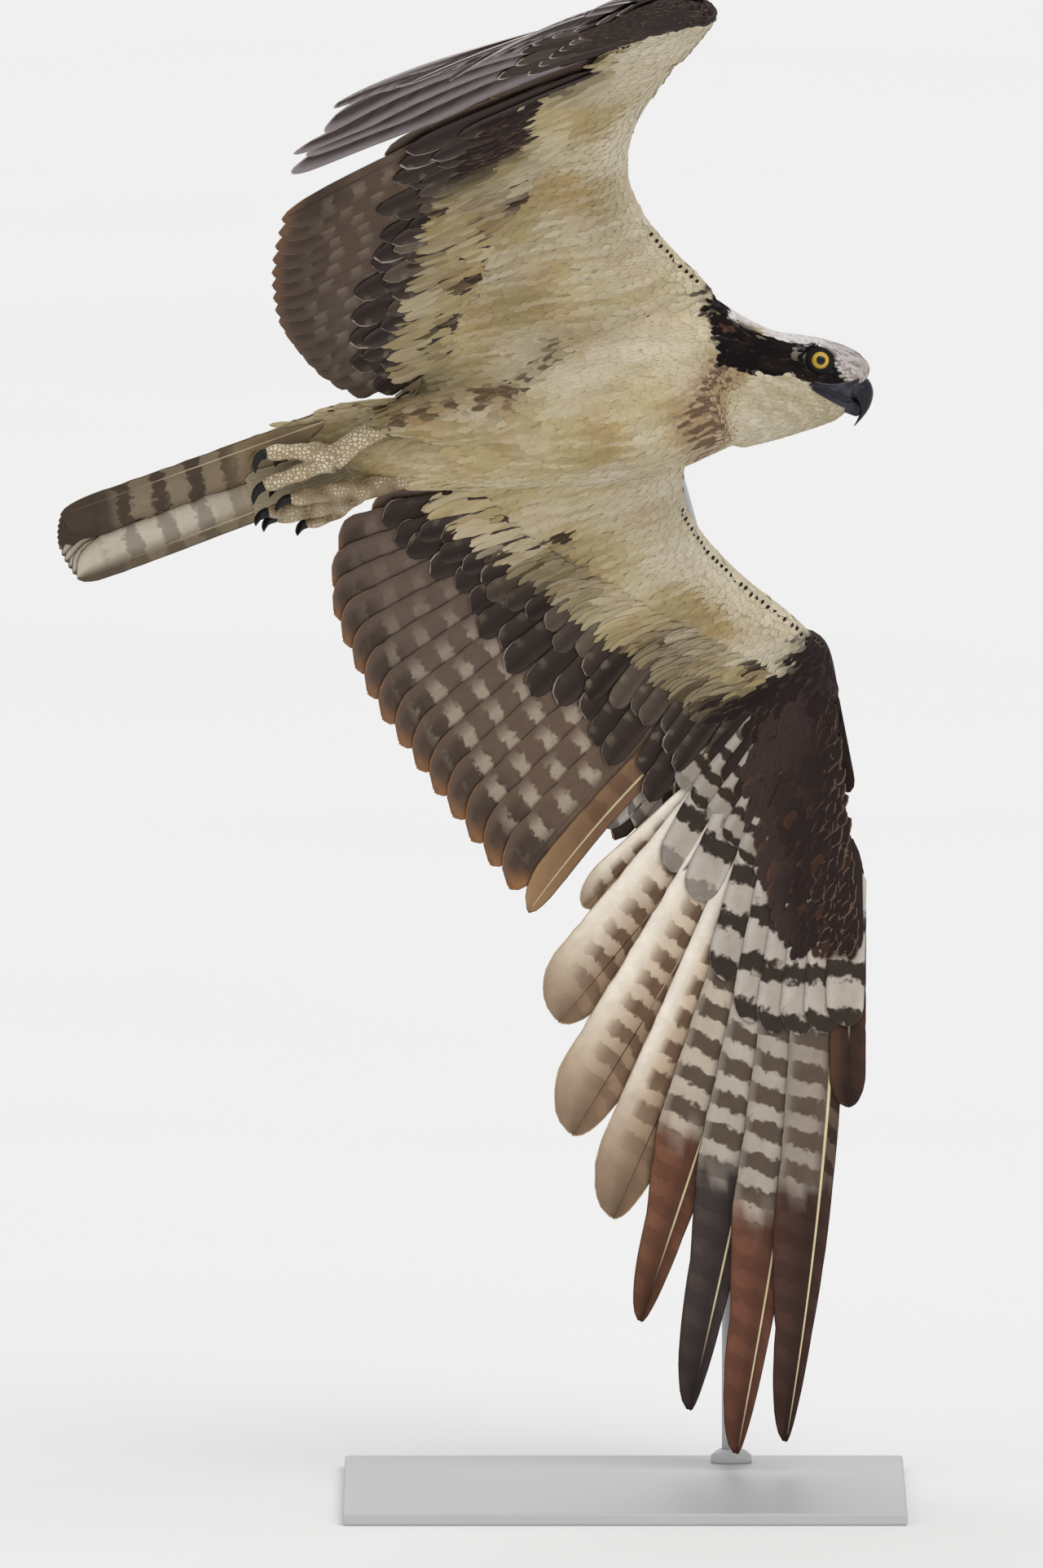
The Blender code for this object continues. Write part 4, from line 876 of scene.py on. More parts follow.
# Spacing, length and half width of the small feathers of each place, in millimetres
BODY_FEATHER, BACK_FEATHER, VENT_FEATHER = (3.5, 17.0, 2.7), (5.5, 24.0, 4.6), (3.3, 18.0, 2.4)
BREAST_IS_LESS, FACE_FEATHER, HAND_FEATHER = (0.8, 5.5, 0.8), (1.7, 4.6, 1.05), (4.0, 12.0, 3.3)
LINING_FEATHER, LINING_GROWS = (2.9, 8.0, 2.0), (0.7, 10.0, 0.8)


def cere_heights(share):
    """The cere's lower and upper edge at share of its way from the gape's corner to the bill."""
    low = CERE_LOW[0] + (CERE_LOW[1] - CERE_LOW[0]) * share
    return low, CERE_HIGH[0] + (CERE_HIGH[1] - CERE_HIGH[0]) * share**2


def on_cere(in_head):
    """True where the bare skin at the bill's base lies, which grows no feathers."""
    share = (in_head[:, 0] - CERE_CORNER) / (CERE_FRONT - CERE_CORNER)
    low, high = cere_heights(np.clip(share, 0, 1))
    return (share > 0) & (in_head[:, 2] > low) & (in_head[:, 2] < high)


def feather_sizes(points):
    """Spacing, length and half width of the small feathers rooted at points."""
    region, side, in_head = regions(points)
    sizes = np.tile(BODY_FEATHER, (len(points), 1))
    sizes -= np.outer(step(points[:, 0], -30, 30) * (region != HEAD_COAT), BREAST_IS_LESS)
    sizes[(region == BODY) & (points[:, 2] > 14)] = BACK_FEATHER
    sizes[(region == BODY) & (points[:, 0] < -140)] = VENT_FEATHER
    # From the neck to the face they shrink evenly
    share = (step(in_head[:, 0], -60, 26) * ((region == HEAD_COAT) | (region == NECK)))[:, None]
    sizes = sizes * (1 - share) + share * FACE_FEATHER
    for s, wing in WINGS.items():
        behind = step(front_edge(points, wing) - points[:, 0], 4, 60)
        here = (region == ARM) & (side == s)
        sizes[here] = (LINING_FEATHER + np.outer(behind, LINING_GROWS))[here]
    sizes[region == HAND] = HAND_FEATHER
    return sizes.T


def spaced(points, distance):
    """Picks points in turn that keep their own distance from those already picked."""
    cell = distance.max()
    grid, kept = {}, []
    for i, (point, gap) in enumerate(zip(points.tolist(), distance.tolist())):
        home = [int(value // cell) for value in point]
        around = itertools.product(*[(h - 1, h, h + 1) for h in home])
        if all(math.dist(point, other) >= gap for key in around for other in grid.get(key, ())):
            grid.setdefault(tuple(home), []).append(point)
            kept.append(i)
    return np.array(kept)


def skin_unwrap(points, normals):
    """An unwrap of the skin's own shape: body and head rolled out, each wing face flat beside them."""
    region, side, _ = regions(points)
    turn = np.arctan2(points[:, 1], -points[:, 2]) / (2 * math.pi) + 0.5
    u = 0.02 + 0.40 * (points[:, 0] + 260) / 420
    v = 0.02 + 0.46 * turn
    wings = region >= ARM
    wing_u = 0.46 + 0.50 * (np.abs(points[:, 1]) - 60) / 420
    wing_v = 0.02 + 0.22 * (points[:, 0] + 200) / 330 + 0.25 * (normals[:, 2] > 0) + 0.5 * (side > 0)
    return np.clip(np.stack([np.where(wings, wing_u, u), np.where(wings, wing_v, v)], 1), 0.005, 0.99)


def add_uv(obj, name, per_point):
    """A UV map whose value is the same at every corner that meets at a point."""
    corners = np.zeros(len(obj.data.loops), np.int32)
    obj.data.loops.foreach_get("vertex_index", corners)
    layer = obj.data.uv_layers.new(name=name)
    layer.data.foreach_set("uv", per_point[corners].astype(np.float32).ravel())


def blade_triangles(rings):
    """The triangles of one small feather: rings of four points and a last point at its tip."""
    corner = np.arange(4)
    nxt = (corner + 1) % 4
    blade = [np.array([(0, 1, 2), (0, 2, 3)])]
    for low in range(0, 4 * (rings - 1), 4):
        high = low + 4
        blade.append(np.stack([low + nxt, low + corner, high + corner], 1))
        blade.append(np.stack([low + nxt, high + corner, high + nxt], 1))
    low = 4 * (rings - 1)
    blade.append(np.stack([low + nxt, low + corner, np.full(4, 4 * rings)], 1))
    return np.concatenate(blade)


def lay_blades(name, slot, coat, centres, ups, home):
    """One piece of small feathers along centres, where ups point off the skin; coat holds the rest."""
    count, rings = len(centres), len(FEATHER_STATIONS)
    per_feather = rings * 4 + 1
    lengths, halves, lies = coat["length"], coat["half"], coat["lie"]
    across = np.cross(ups, lies[:, None])
    across /= np.linalg.norm(across, axis=2)[:, :, None]
    lift = np.r_[FEATHER_LIFTS, TIP_LIFT_AT_END][None] * coat["lift"][:, None]
    points, facing, tone = (np.zeros((count, per_feather, 3)) for _ in range(3))
    edge, vane = np.zeros((count, per_feather)), np.zeros((count, per_feather, 2))
    # Each feather's barbs start elsewhere, so that no two look alike
    barbs_from = BARB_STAGGER * np.arange(count)
    for k, (station, width) in enumerate(zip(FEATHER_STATIONS, FEATHER_WIDTHS)):
        up, wide = ups[:, k], (halves * width)[:, None]
        middle = centres[:, k] + up * lift[:, k, None]
        droop = 0.10 * wide
        points[:, 4 * k] = middle - across[:, k] * wide - up * droop
        points[:, 4 * k + 1] = middle + up * BLADE_HALF_THICKNESS
        points[:, 4 * k + 2] = middle + across[:, k] * wide - up * droop
        points[:, 4 * k + 3] = middle - up * (BLADE_HALF_THICKNESS + droop)
        edge[:, 4 * k + 1] = edge[:, 4 * k + 3] = np.minimum(wide[:, 0], lengths * (1 - station))
        along = coat["ground"] * (1 - station) + coat["tip"] * station
        for c, s in enumerate((-1, 0, 1, 0)):
            facing[:, 4 * k + c] = -up if c == 3 else 0.95 * up + 0.22 * s * across[:, k]
            vane[:, 4 * k + c, 0] = s * wide[:, 0] * MM
            vane[:, 4 * k + c, 1] = (lengths * station + barbs_from) * MM
            tone[:, 4 * k + c] = along if s else 0.3 * along + 0.7 * coat["shaft"]
    points[:, -1] = centres[:, -1] + ups[:, -1] * lift[:, -1, None]
    facing[:, -1] = 0.95 * ups[:, -1] + 0.3 * lies
    vane[:, -1, 1] = (lengths + barbs_from) * MM
    tone[:, -1] = coat["tip"]
    faces = (blade_triangles(rings)[None] + (np.arange(count) * per_feather)[:, None, None]).reshape(-1, 3)
    piece = mesh_from(name, points.reshape(-1, 3), faces)
    colour_attribute(piece, "Ground", (tone * coat["shade"][:, None, None]).reshape(-1, 3))
    fringe = np.where(coat["dark"][:, None] > 0.5, MANTLE_EDGE, FRINGE)
    colour_attribute(piece, "Rim", np.repeat(fringe, per_feather, 0))
    number_attribute(piece, "Edge", edge.ravel())
    number_attribute(piece, "RimWidth", np.repeat(coat["rim"], per_feather))
    add_uv(piece, "Vane", vane.reshape(-1, 2))
    patch = 0.003 * (vane / MM - vane[:, :1] / MM * (0, 1)) / (lengths[:, None, None])
    add_uv(piece, "OFBake", (home[:, None] + patch).reshape(-1, 2))
    piece.data.materials.append(down_keratin)
    set_piece(piece, slot)
    # Each blade is shaded as part of the coat's soft surface rather than as a facet of its own
    facing = facing.reshape(-1, 3) @ (BIRD[:3, :3] / MM).T
    facing /= np.linalg.norm(facing, axis=1)[:, None]
    piece.data.normals_split_custom_set_from_vertices(facing.tolist())
    print("coat", name, count, "feathers", len(faces), "triangles")


def lay_coat(name, slot, picks):
    """One coat piece from the roots that picks names, each feather bent along the skin."""
    coat = {key: values[picks] for key, values in all_roots.items()}
    stations = (*FEATHER_STATIONS, 1.0)
    rear_edge = np.array([lining_end(min(abs(y), 300)) + 12 for y in coat["root"][:, 1]])
    centres, ups = (np.zeros((len(picks), len(stations), 3)) for _ in range(2))
    for k, t in enumerate(stations):
        reached = coat["root"] + coat["lie"] * (coat["length"] * t)[:, None]
        for i, point in enumerate(reached.tolist()):
            centres[i, k], ups[i, k] = skin_tree.find_nearest(point)[:2]
        # Past the wing's rear edge there is no skin under the tip, so it goes straight on
        gone = np.linalg.norm(centres[:, k] - reached, axis=1) > 0.35 * coat["length"] * t + 1.5
        gone |= (regions(coat["root"])[0] == ARM) & (reached[:, 0] < rear_edge)
        if k:
            onward = centres[:, k - 1] + coat["lie"] * (coat["length"] * (t - stations[k - 1]))[:, None]
            centres[gone, k], ups[gone, k] = onward[gone], ups[gone, k - 1]
    ups = 0.5 * ups + 0.5 * coat["normal"][:, None]
    ups /= np.linalg.norm(ups, axis=2)[:, :, None]
    lay_blades(name, slot, coat, centres, ups, skin_unwrap(coat["root"], coat["normal"]))


def painted_roots(roots, normals, lies, length, half, draw):
    """The roots with everything that a small feather needs: its lie, size, colours and lift."""
    lies = lies + draw.normal(0, 0.05, lies.shape)
    lies -= normals * np.einsum("ij,ij->i", lies, normals)[:, None]
    count = len(roots)
    coat = {
        "root": roots,
        "normal": normals,
        "lie": lies / np.linalg.norm(lies, axis=1)[:, None],
        "length": length * draw.uniform(0.85, 1.15, count),
        "half": half * draw.uniform(0.9, 1.1, count),
        "lift": draw.uniform(0.75, 1.3, count),
        "shade": draw.uniform(0.965, 1.035, count),
    }
    return coat | dict(zip(("ground", "tip", "shaft", "rim", "dark"), coat_colours(roots)))


# Roots are tried all over the skin, more thickly where feathers are small, and kept if there is room
TRIES = 300000
draw = np.random.default_rng(7)
a, b, c = (skin_points[skin_faces[:, k]] for k in range(3))
weight = np.linalg.norm(np.cross(b - a, c - a), axis=1) / feather_sizes((a + b + c) / 3)[0] ** 2
chosen = draw.choice(len(weight), TRIES, p=weight / weight.sum())
first, second = draw.random(TRIES), draw.random(TRIES)
fold = first + second > 1
first[fold], second[fold] = 1 - first[fold], 1 - second[fold]
roots = a[chosen] + (b - a)[chosen] * first[:, None] + (c - a)[chosen] * second[:, None]
weights = np.stack([1 - first - second, first, second], 1)
normals = sum(skin_normals[skin_faces[chosen, k]] * weights[:, k, None] for k in range(3))
normals /= np.linalg.norm(normals, axis=1)[:, None]
root_regions, root_sides, in_head = regions(roots)
spacing, length, half = feather_sizes(roots)
from_eyes = [np.linalg.norm((in_head - EYE_AT * (1, s, 1)) * (1, 0.6, 1), axis=1) for s in (1, -1)]
bare_face = (root_regions == HEAD_COAT) & ((in_head[:, 0] > 34.5) | on_cere(in_head))
keep = (np.minimum(*from_eyes) > 8.2) & ~bare_face
# None on the rear face of an arm's flesh, which the quills come out of
rear_ends = np.array([lining_end(min(out, 300)) for out in np.abs(roots[:, 1])]) + 13
at_rear = np.where((root_regions == ARM) & (roots[:, 0] < rear_ends))[0]
keep[at_rear[np.abs(mid_height(roots[at_rear], root_sides[at_rear])) < 3.2]] = False
# No feathers on the blunt ends of thighs and rump, where they would stand across the leg
keep &= ~((root_regions == BODY) & (roots[:, 0] < -150) & (normals[:, 0] < -0.7))
order = np.where(keep)[0]
kept = order[spaced(roots[order], spacing[order])]
lies = coat_lie(roots[kept])
all_roots = painted_roots(roots[kept], normals[kept], lies, length[kept], half[kept], draw)
# A row of small dark marks runs along each arm's front edge, as long as half a hand
MARK_SPACING, MARK_LENGTH, MARK_HALF, MARK_LIFT = 5.0, 5.0, 1.3, 1.6
for s, first_out, last_out in ((1, 132, 276), (-1, 72, 120)):
    marks, wing = [], WINGS[s]
    for out in np.arange(first_out, last_out, MARK_SPACING):
        ahead = wing.front(out) - 1.2 + draw.uniform(-0.6, 0.6)
        height = wing.arm(out, wing.front(out) - 4, 0)[2] - 4.0
        start = Vector((ahead, s * (out + draw.uniform(-0.8, 0.8)), height))
        marks.append(np.concatenate(skin_tree.find_nearest(start)[:2]))
    places, facings = np.hsplit(np.array(marks), 2)
    full = np.ones(len(places))
    extra = painted_roots(places, facings, coat_lie(places), MARK_LENGTH * full, MARK_HALF * full, draw)
    extra["ground"][:], extra["tip"][:], extra["shaft"][:] = MANTLE, MANTLE, MANTLE * 0.6
    extra["lift"][:] = MARK_LIFT
    all_roots = {key: np.concatenate([all_roots[key], extra[key]]) for key in all_roots}
coat_regions, coat_sides, _ = regions(all_roots["root"])
all_roots["lift"] *= np.where(coat_regions == HEAD_COAT, 0.7, 1.0)
front_part = all_roots["root"][:, 0] > -60
for piece_name, slot, chosen in (
    ("coat_head", "head_coat", coat_regions == HEAD_COAT),
    ("coat_neck", "neck_coat", coat_regions == NECK),
    ("coat_breast", "torso_coat", (coat_regions == BODY) & front_part),
    ("coat_belly", "torso_coat", (coat_regions == BODY) & ~front_part),
    ("coat_arm_left", "wing_feathers", (coat_regions == ARM) & (coat_sides > 0)),
    ("coat_arm_right", "wing_feathers", (coat_regions == ARM) & (coat_sides < 0)),
    ("coat_hands", "wing_feathers", coat_regions == HAND),
):
    lay_coat(piece_name, slot, np.where(chosen)[0])
set_piece(skin, "torso_coat", "head", "neck", "torso")


# Lining feathers behind the flesh: small soft feathers below the wing that hide where the quills
# come out, in rows on the vanes themselves, dark and scalloped under the hand.

TIP_SINKS = 1.2


def lay_on_sheet(name, sheet, starts, along, length, half, level, seed):
    """Small feathers under a wing, rooted at starts on its sheet and pointing along, a unit step on it."""
    draw = np.random.default_rng(seed)
    stations = (*FEATHER_STATIONS, 1.0)
    count = len(starts)
    turns = draw.normal(0, 0.10, count)
    lengths, levels = length * draw.uniform(0.85, 1.15, count), level + draw.uniform(-0.35, 0.35, count)
    centres, ups = (np.zeros((count, len(stations), 3)) for _ in range(2))
    for i, (start, turn) in enumerate(zip(starts, turns)):
        cos, sin = math.cos(turn), math.sin(turn)
        heading = np.array((along[0] * cos - along[1] * sin, along[0] * sin + along[1] * cos))
        middle = start + heading * lengths[i] / 2
        down = np.array(sheet(*middle, levels[i] - 1)) - np.array(sheet(*middle, levels[i]))
        ups[i] = down / np.linalg.norm(down)
        for k, t in enumerate(stations):
            centres[i, k] = sheet(*(start + heading * lengths[i] * t), levels[i] + TIP_SINKS * t)
    roots, facing, lies = centres[:, 0], ups[:, 0], centres[:, -1] - centres[:, 0]
    coat = painted_roots(roots, facing, lies, np.full(count, length), np.full(count, half), draw)
    coat["lie"], coat["length"] = lies / np.linalg.norm(lies, axis=1)[:, None], lengths
    lay_blades(name, "wing_feathers", coat, centres, ups, skin_unwrap(roots, -np.abs(facing)))


PATCH_FRONT = ((-14, 17), (8, 9), (34, -4), (90, -15), (150, -24), (186, -28))
PATCH_BACK = ((-14, 40), (10, 46), (40, 50), (80, 46), (130, 34), (172, 20), (186, 6))
for side, label, wing, _ in SIDES:
    draw = np.random.default_rng(50 + side)
    last = smooth_through(wing["lining_tips"])
    starts = []
    for out in np.arange(60, min(wing["reach"] - 4, 302), 3.6):
        for ahead in np.arange(lining_end(out) + 25, last(out) + 12, -3.6):
            starts.append((out + draw.uniform(-1.8, 1.8), ahead + draw.uniform(-2.4, 2.4)))
    shape = WINGS[side]
    lay_on_sheet("lining_" + label, shape.arm, np.array(starts), (0.1, -1), 20.0, 4.3, -5.5, 60 + side)
    starts = []
    for out in np.arange(-14, 186, 4.6):
        lead, back = (np.interp(out, *zip(*edge)) for edge in (PATCH_FRONT, PATCH_BACK))
        for across in np.arange(lead, back, 4.4):
            # The left hand's patch leaves the arm's front edge to the wrist's own feathers
            if side < 0 or across < 4 or out > 0.6 * across - 23:
                starts.append((out + draw.uniform(-2.2, 2.2), across + draw.uniform(-2.2, 2.2)))
    starts = np.array(starts)
    lay_on_sheet("wrist_patch_" + label, shape.hand, starts, (0.93, 0.36), 13.0, 3.6, -5.9, 70 + side)


# Flight feathers and the larger coverts: a stiff shaft with a broad vane on each side, thin as
# paper, dark brown above. Below, the secondaries are grey-brown with rows of pale spots and rufous
# edges that the light shines through, and the primaries whitish with dark bars and dark fingers.

PRIMARIES = (
    # root and tip out along the hand and back across it, outer and inner half width, where the vane
    # narrows and the share that it narrows to
    ((40, 8), (247, 156), 15, 31, (0.88, 0.9)),
    ((52, 5), (319, 143), 14, 31, (0.88, 0.9)),
    ((64, 2), (371, 114), 13, 28, (0.88, 0.88)),
    ((77, -1), (436, 92), 12, 31, (0.66, 0.66)),
    ((90, -5), (491, 57), 10, 32, (0.60, 0.69)),
    ((103, -9), (517, 26), 9, 31, (0.62, 0.71)),
    ((116, -14), (507, -4), 8, 28, (0.66, 0.71)),
    ((127, -21), (290, -31), 11, 13, (0.88, 0.95)),
)
FINGER_SHARE, FINGER_TIP_FROM, OUTER_NARROWS_TO = 0.8, 0.7, 0.8
PRIMARY_BOWS = {5: 4, 6: 8}
ALULA = (((6, 5), (84, -4)), ((10, 3), (98, -12)), ((16, 0), (88, -19)))
SECONDARIES, TERTIALS = 15, 3
VANE_THICKNESS, SHAFT_SIDES, SHAFT_INSIDE_EDGE, BARBS_FROM = 0.22, 6, 9.0, 61.0
SHAFT_CREAM, SHAFT_DARK = linear("#DCCBA4"), linear("#33271F")
PAINTED_COLOURS = {"ground": "Ground", "mark": "Mark", "rim": "Rim"}
PAINTED_NUMBERS = {"strength": "Strength", "rim_width": "RimWidth", "turns": "Turns", "duty": "Duty"}


def vane_width(t, narrow_from, narrow_to, tip_from=0.86):
    """Share of its full width that a vane has at t of its length, from quill to tip."""
    t = np.asarray(t, float)
    base = 0.14 + 0.86 * np.clip(t / 0.16, 0, 1) ** 1.2
    end = np.clip((t - tip_from) / (1 - tip_from), 0, 1)
    narrow = 1 - (1 - narrow_to) * np.clip((t - narrow_from) / 0.16, 0, 1)
    return base * narrow * np.sqrt(np.maximum(0, 1 - 0.985 * end**2))


def two_faced(rows, columns):
    """Triangles of a thin closed sheet: its upper grid of points, then its lower one, then its rim."""
    grid = np.arange(rows * columns).reshape(rows, columns)
    quads = np.stack([grid[:-1, :-1], grid[:-1, 1:], grid[1:, 1:], grid[1:, :-1]], -1).reshape(-1, 4)
    under = quads[:, ::-1] + rows * columns
    loop = np.r_[grid[0, :-1], grid[:-1, -1], grid[-1, :0:-1], grid[:0:-1, 0]]
    nxt = np.roll(loop, -1)
    rim = np.stack([nxt, loop, loop + rows * columns, nxt + rows * columns], 1)
    quads = np.concatenate([quads, under, rim])
    return np.concatenate([quads[:, :3], quads[:, (0, 2, 3)]])


def vane(place, root, tip, outer, inner, inward, look, level=0.0, tilt=0.06, bow=0.0, narrow=(0.9, 1.0),
         tip_from=0.86, sink=0.0, quill=1.0, stations=24, columns=9, ragged=0.0, seed=0):
    """One big feather as points, faces and its painted values; place(a, b, up) puts it on its wing.

    look(t, s, upper) gives the vane's colours at t along it and s across it, from -1 at its outer
    edge to 1 at its inner edge.
    """
    root, tip = np.array(root, float), np.array(tip, float)
    along = tip - root
    length = float(np.hypot(*along))
    across = np.array((-along[1], along[0])) / length
    turn = 1.0 if across @ np.array(inward, float) > 0 else -1.0
    across *= turn
    # Points lie closer together towards the tip and the edges, where the outline curves most
    ts = 1 - (1 - np.linspace(0, 1, stations)) ** 1.25
    ss = np.linspace(-1, 1, columns)
    ss = np.sign(ss) * np.abs(ss) ** 0.85
    draw = np.random.default_rng(seed)
    notch = 1 - ragged * draw.random((stations, 2)) ** 3
    inner_shares = vane_width(ts, *narrow, tip_from)
    outer_shares = vane_width(ts, narrow[0], max(narrow[1], OUTER_NARROWS_TO), tip_from)
    upper, lower, shaft_path = [], [], []
    widths = np.zeros((stations, columns))
    for i, t in enumerate(ts):
        middle = root + along * t - across * bow * 4 * t * (1 - t)
        slope = along - across * bow * 4 * (1 - 2 * t)
        side = np.array((-slope[1], slope[0])) / np.hypot(*slope) * turn
        up = level + sink * max(0.0, 1 - t / 0.16)
        for j, s in enumerate(ss):
            half = outer * outer_shares[i] * notch[i, 0] if s < 0 else inner * inner_shares[i] * notch[i, 1]
            wide = s * half
            # The barbs sweep forwards, so the vane's edge at its tip stands ahead of the shaft
            swept = middle + side * wide + along / length * (0.05 * abs(wide))
            if s == 0 and i == stations - 1:
                swept = middle + along / length * 0.02 * (outer + inner)
            rise = up - tilt * wide - 0.03 * abs(wide)
            upper.append(place(*swept, rise + VANE_THICKNESS))
            lower.append(place(*swept, rise - VANE_THICKNESS))
            widths[i, j] = wide
        shaft_path.append(place(*middle, up))
    points = np.array(upper + lower)
    faces = outwards(points, two_faced(stations, columns))
    t_grid, s_grid = np.meshgrid(ts, ss, indexing="ij")
    half = np.where(s_grid < 0, (outer * outer_shares)[:, None], (inner * inner_shares)[:, None])
    edge = np.minimum(half - np.abs(widths), length * (1 - t_grid) + 0.15 * np.abs(widths))
    edge[:, 0] = edge[:, -1] = edge[-1] = 0
    t_flat, s_flat = t_grid.ravel(), s_grid.ravel()
    # The shaft stands a little proud of the vane on both faces
    radii = quill * (1.0 - 0.72 * ts)
    shaft_points, shaft_faces = tube(shaft_path[:-1], radii[:-1], SHAFT_SIDES, 0.85)
    count = len(shaft_points)
    shaft_t = np.r_[np.repeat(ts[:-1], SHAFT_SIDES), 0, ts[-2]]
    looks = [look(t_flat, s_flat, is_upper) for is_upper in (True, False)]
    painted = {"edge": np.r_[edge.ravel(), edge.ravel(), np.full(count, SHAFT_INSIDE_EDGE)]}
    for key in PAINTED_COLOURS:
        faces_of = [np.broadcast_to(part[key], (t_grid.size, 3)) for part in looks]
        painted[key] = np.concatenate([*faces_of, looks[1]["shaft"](shaft_t)])
    for key in PAINTED_NUMBERS:
        faces_of = [np.broadcast_to(part[key], t_grid.size) for part in looks]
        painted[key] = np.concatenate([*faces_of, np.zeros(count)])
    painted["turns"] = painted["turns"] * length
    on_vane = np.stack([widths.ravel(), t_flat * length + BARBS_FROM * seed], 1)
    on_shaft = np.stack([np.zeros(count), shaft_t * length], 1)
    painted["vane"] = np.concatenate([on_vane, on_vane, on_shaft]) * MM
    strip = np.stack([t_flat, (s_flat + 1) / 2], 1) * (1, 0.48)
    on_shaft = np.stack([shaft_t, np.full(count, 0.5)], 1)
    painted["strip"] = np.concatenate([strip, strip + (0, 0.52), on_shaft])
    return *joined([(points, faces), (shaft_points, shaft_faces)]), painted


def fix_vanes(name, slot, feathers, *nodes):
    """Joins feathers into one piece with its painted attributes and its maps."""
    points, faces = joined([(f[0], f[1]) for f in feathers])
    piece = mesh_from(name, points, faces)
    painted = {key: np.concatenate([f[2][key] for f in feathers]) for key in feathers[0][2]}
    for key, attribute in PAINTED_COLOURS.items():
        colour_attribute(piece, attribute, painted[key])
    for key, attribute in {"edge": "Edge", **PAINTED_NUMBERS}.items():
        number_attribute(piece, attribute, painted[key])
    add_uv(piece, "Vane", painted["vane"])
    # OFBake: each feather has a strip of its own, in two columns
    rows = math.ceil(len(feathers) / 2)
    strips = []
    for i, f in enumerate(feathers):
        corner = np.array((0.5 * (i % 2), (i // 2) / rows))
        strips.append(corner + (0.01, 0.004) + f[2]["strip"] * (0.48, 1 / rows - 0.008))
    add_uv(piece, "OFBake", np.concatenate(strips))
    piece.data.materials.append(vane_keratin)
    print("vanes", name, len(feathers), "feathers", len(faces), "triangles")
    set_piece(piece, slot, *nodes)


def plain_shaft(base, tip):
    """Colours of a shaft that fade from base to tip."""
    return lambda t: mix(base, tip, step(t, 0.35, 0.95))


UPPER_BROWN, UPPER_BLACK, UPPER_WORN = linear("#3A2D25"), linear("#241C19"), linear("#6B5A49")
INNER_GREY, OUTER_BROWN, PALE_SPOT = linear("#6C5C52"), linear("#6C594C"), linear("#B4A592")
RUFOUS_EDGE, RUFOUS_VANE, THIN_EDGE = linear("#9A6E4A"), linear("#7D604A"), linear("#77695B")
SPOT_SPACING, SPOT_DUTY, BAR_DUTY, NOTCH_SPACING = 21.0, 0.0, -0.45, 16.0


def secondary_look(order, side):
    """order runs from 0 at the outermost secondary to 1 at the inmost."""
    # The right wing lies in its own shade, so its rufous and its spots show less
    lit = side > 0

    def look(t, s, upper):
        if upper:
            ground = mix(UPPER_BROWN, UPPER_BLACK, 0.4 * step(s, -0.2, 0.6))
            ground = mix(ground, UPPER_WORN, 0.35 * step(t, 0.93, 1.0))
            strength = 0.35 * step(s, 0.0, 0.4)
            return dict(ground=ground, mark=UPPER_BLACK, rim=linear("#9A876E"), strength=strength,
                        rim_width=1.0, turns=t / SPOT_SPACING, duty=BAR_DUTY)
        if order < 0.03 and lit:
            # The outermost is thin and rufous where the sky shines through it, with dark bars
            pale = 0.7 * step(t, 0.7, 1.0) + 0.3 * step(s, 0.2, 1)
            return dict(ground=mix(RUFOUS_VANE, linear("#A5855F"), pale), mark=linear("#5E4636"),
                        rim=linear("#6B4A33"), strength=0.5 * step(t, 0.78, 0.66) * step(s, -0.3, 0.1),
                        rim_width=0.7, turns=t / SPOT_SPACING, duty=BAR_DUTY,
                        shaft=plain_shaft(SHAFT_CREAM, SHAFT_CREAM * 0.8))
        ground = mix(OUTER_BROWN, INNER_GREY, np.full(len(t), step(order, 0.1, 0.7))) * (1 if lit else 0.75)
        darker = step(t, 0.74, 0.86) * step(t, 0.985, 0.94) * step(s, 0.95, 0.5)
        ground = mix(ground, INNER_GREY * 0.34, 0.75 * darker)
        rufous = (0.45 + 0.4 * (1 - order)) * step(t - 0.045 * s, 0.93, 0.985)
        ground = mix(ground, RUFOUS_EDGE, rufous * (1 if lit else 0.4))
        spotted = 0.12 + 0.7 * step(order, 0.85, 0.35) if lit else 0.22
        where = step(s, 0.06, 0.26) * step(s, 0.95, 0.55) * step(t, 0.92, 0.84) * step(t, 0.2, 0.3)
        where = np.maximum(where, 0.2 * step(s, -0.1, -0.4) * step(t, 0.9, 0.8))
        rim = mix(THIN_EDGE, RUFOUS_EDGE, (1 if lit else 0.45) * step(t, 0.8, 0.94))
        widens = 1.1 * step(t, 0.86, 0.95) if lit else 0.6 * step(t, 0.9, 0.97)
        return dict(ground=ground, mark=PALE_SPOT, rim=rim, strength=spotted * where, duty=SPOT_DUTY,
                    rim_width=0.35 + widens, turns=t / SPOT_SPACING + 0.13 * order,
                    shaft=plain_shaft(linear("#7A6C5C"), linear("#3A312D")))

    return look


def covert_look(ground_colour, crescent, crescent_width=1.6, streak=0.0, notches=0.0):
    """A covert: one colour, darker at its middle, with a pale crescent and, below, pale notches."""

    def look(t, s, upper):
        ground = mix(ground_colour, ground_colour * 0.72, step(np.abs(s), 0.5, 0.0) * 0.6)
        ground = mix(ground, crescent, streak * step(np.abs(s), 0.25, 0.9))
        notched = 0.0 if upper else notches * step(s, 0.35, 0.85) * step(t, 0.3, 0.5)
        at_tip = step(t - 0.05 * np.abs(s), 0.74, 0.88) * step(s, -0.7, 0.5)
        return dict(ground=ground, mark=linear("#A39880"), rim=crescent, strength=notched, duty=0.35,
                    rim_width=crescent_width * at_tip, turns=t / NOTCH_SPACING,
                    shaft=plain_shaft(ground_colour * 0.7, ground_colour * 0.6))

    return look


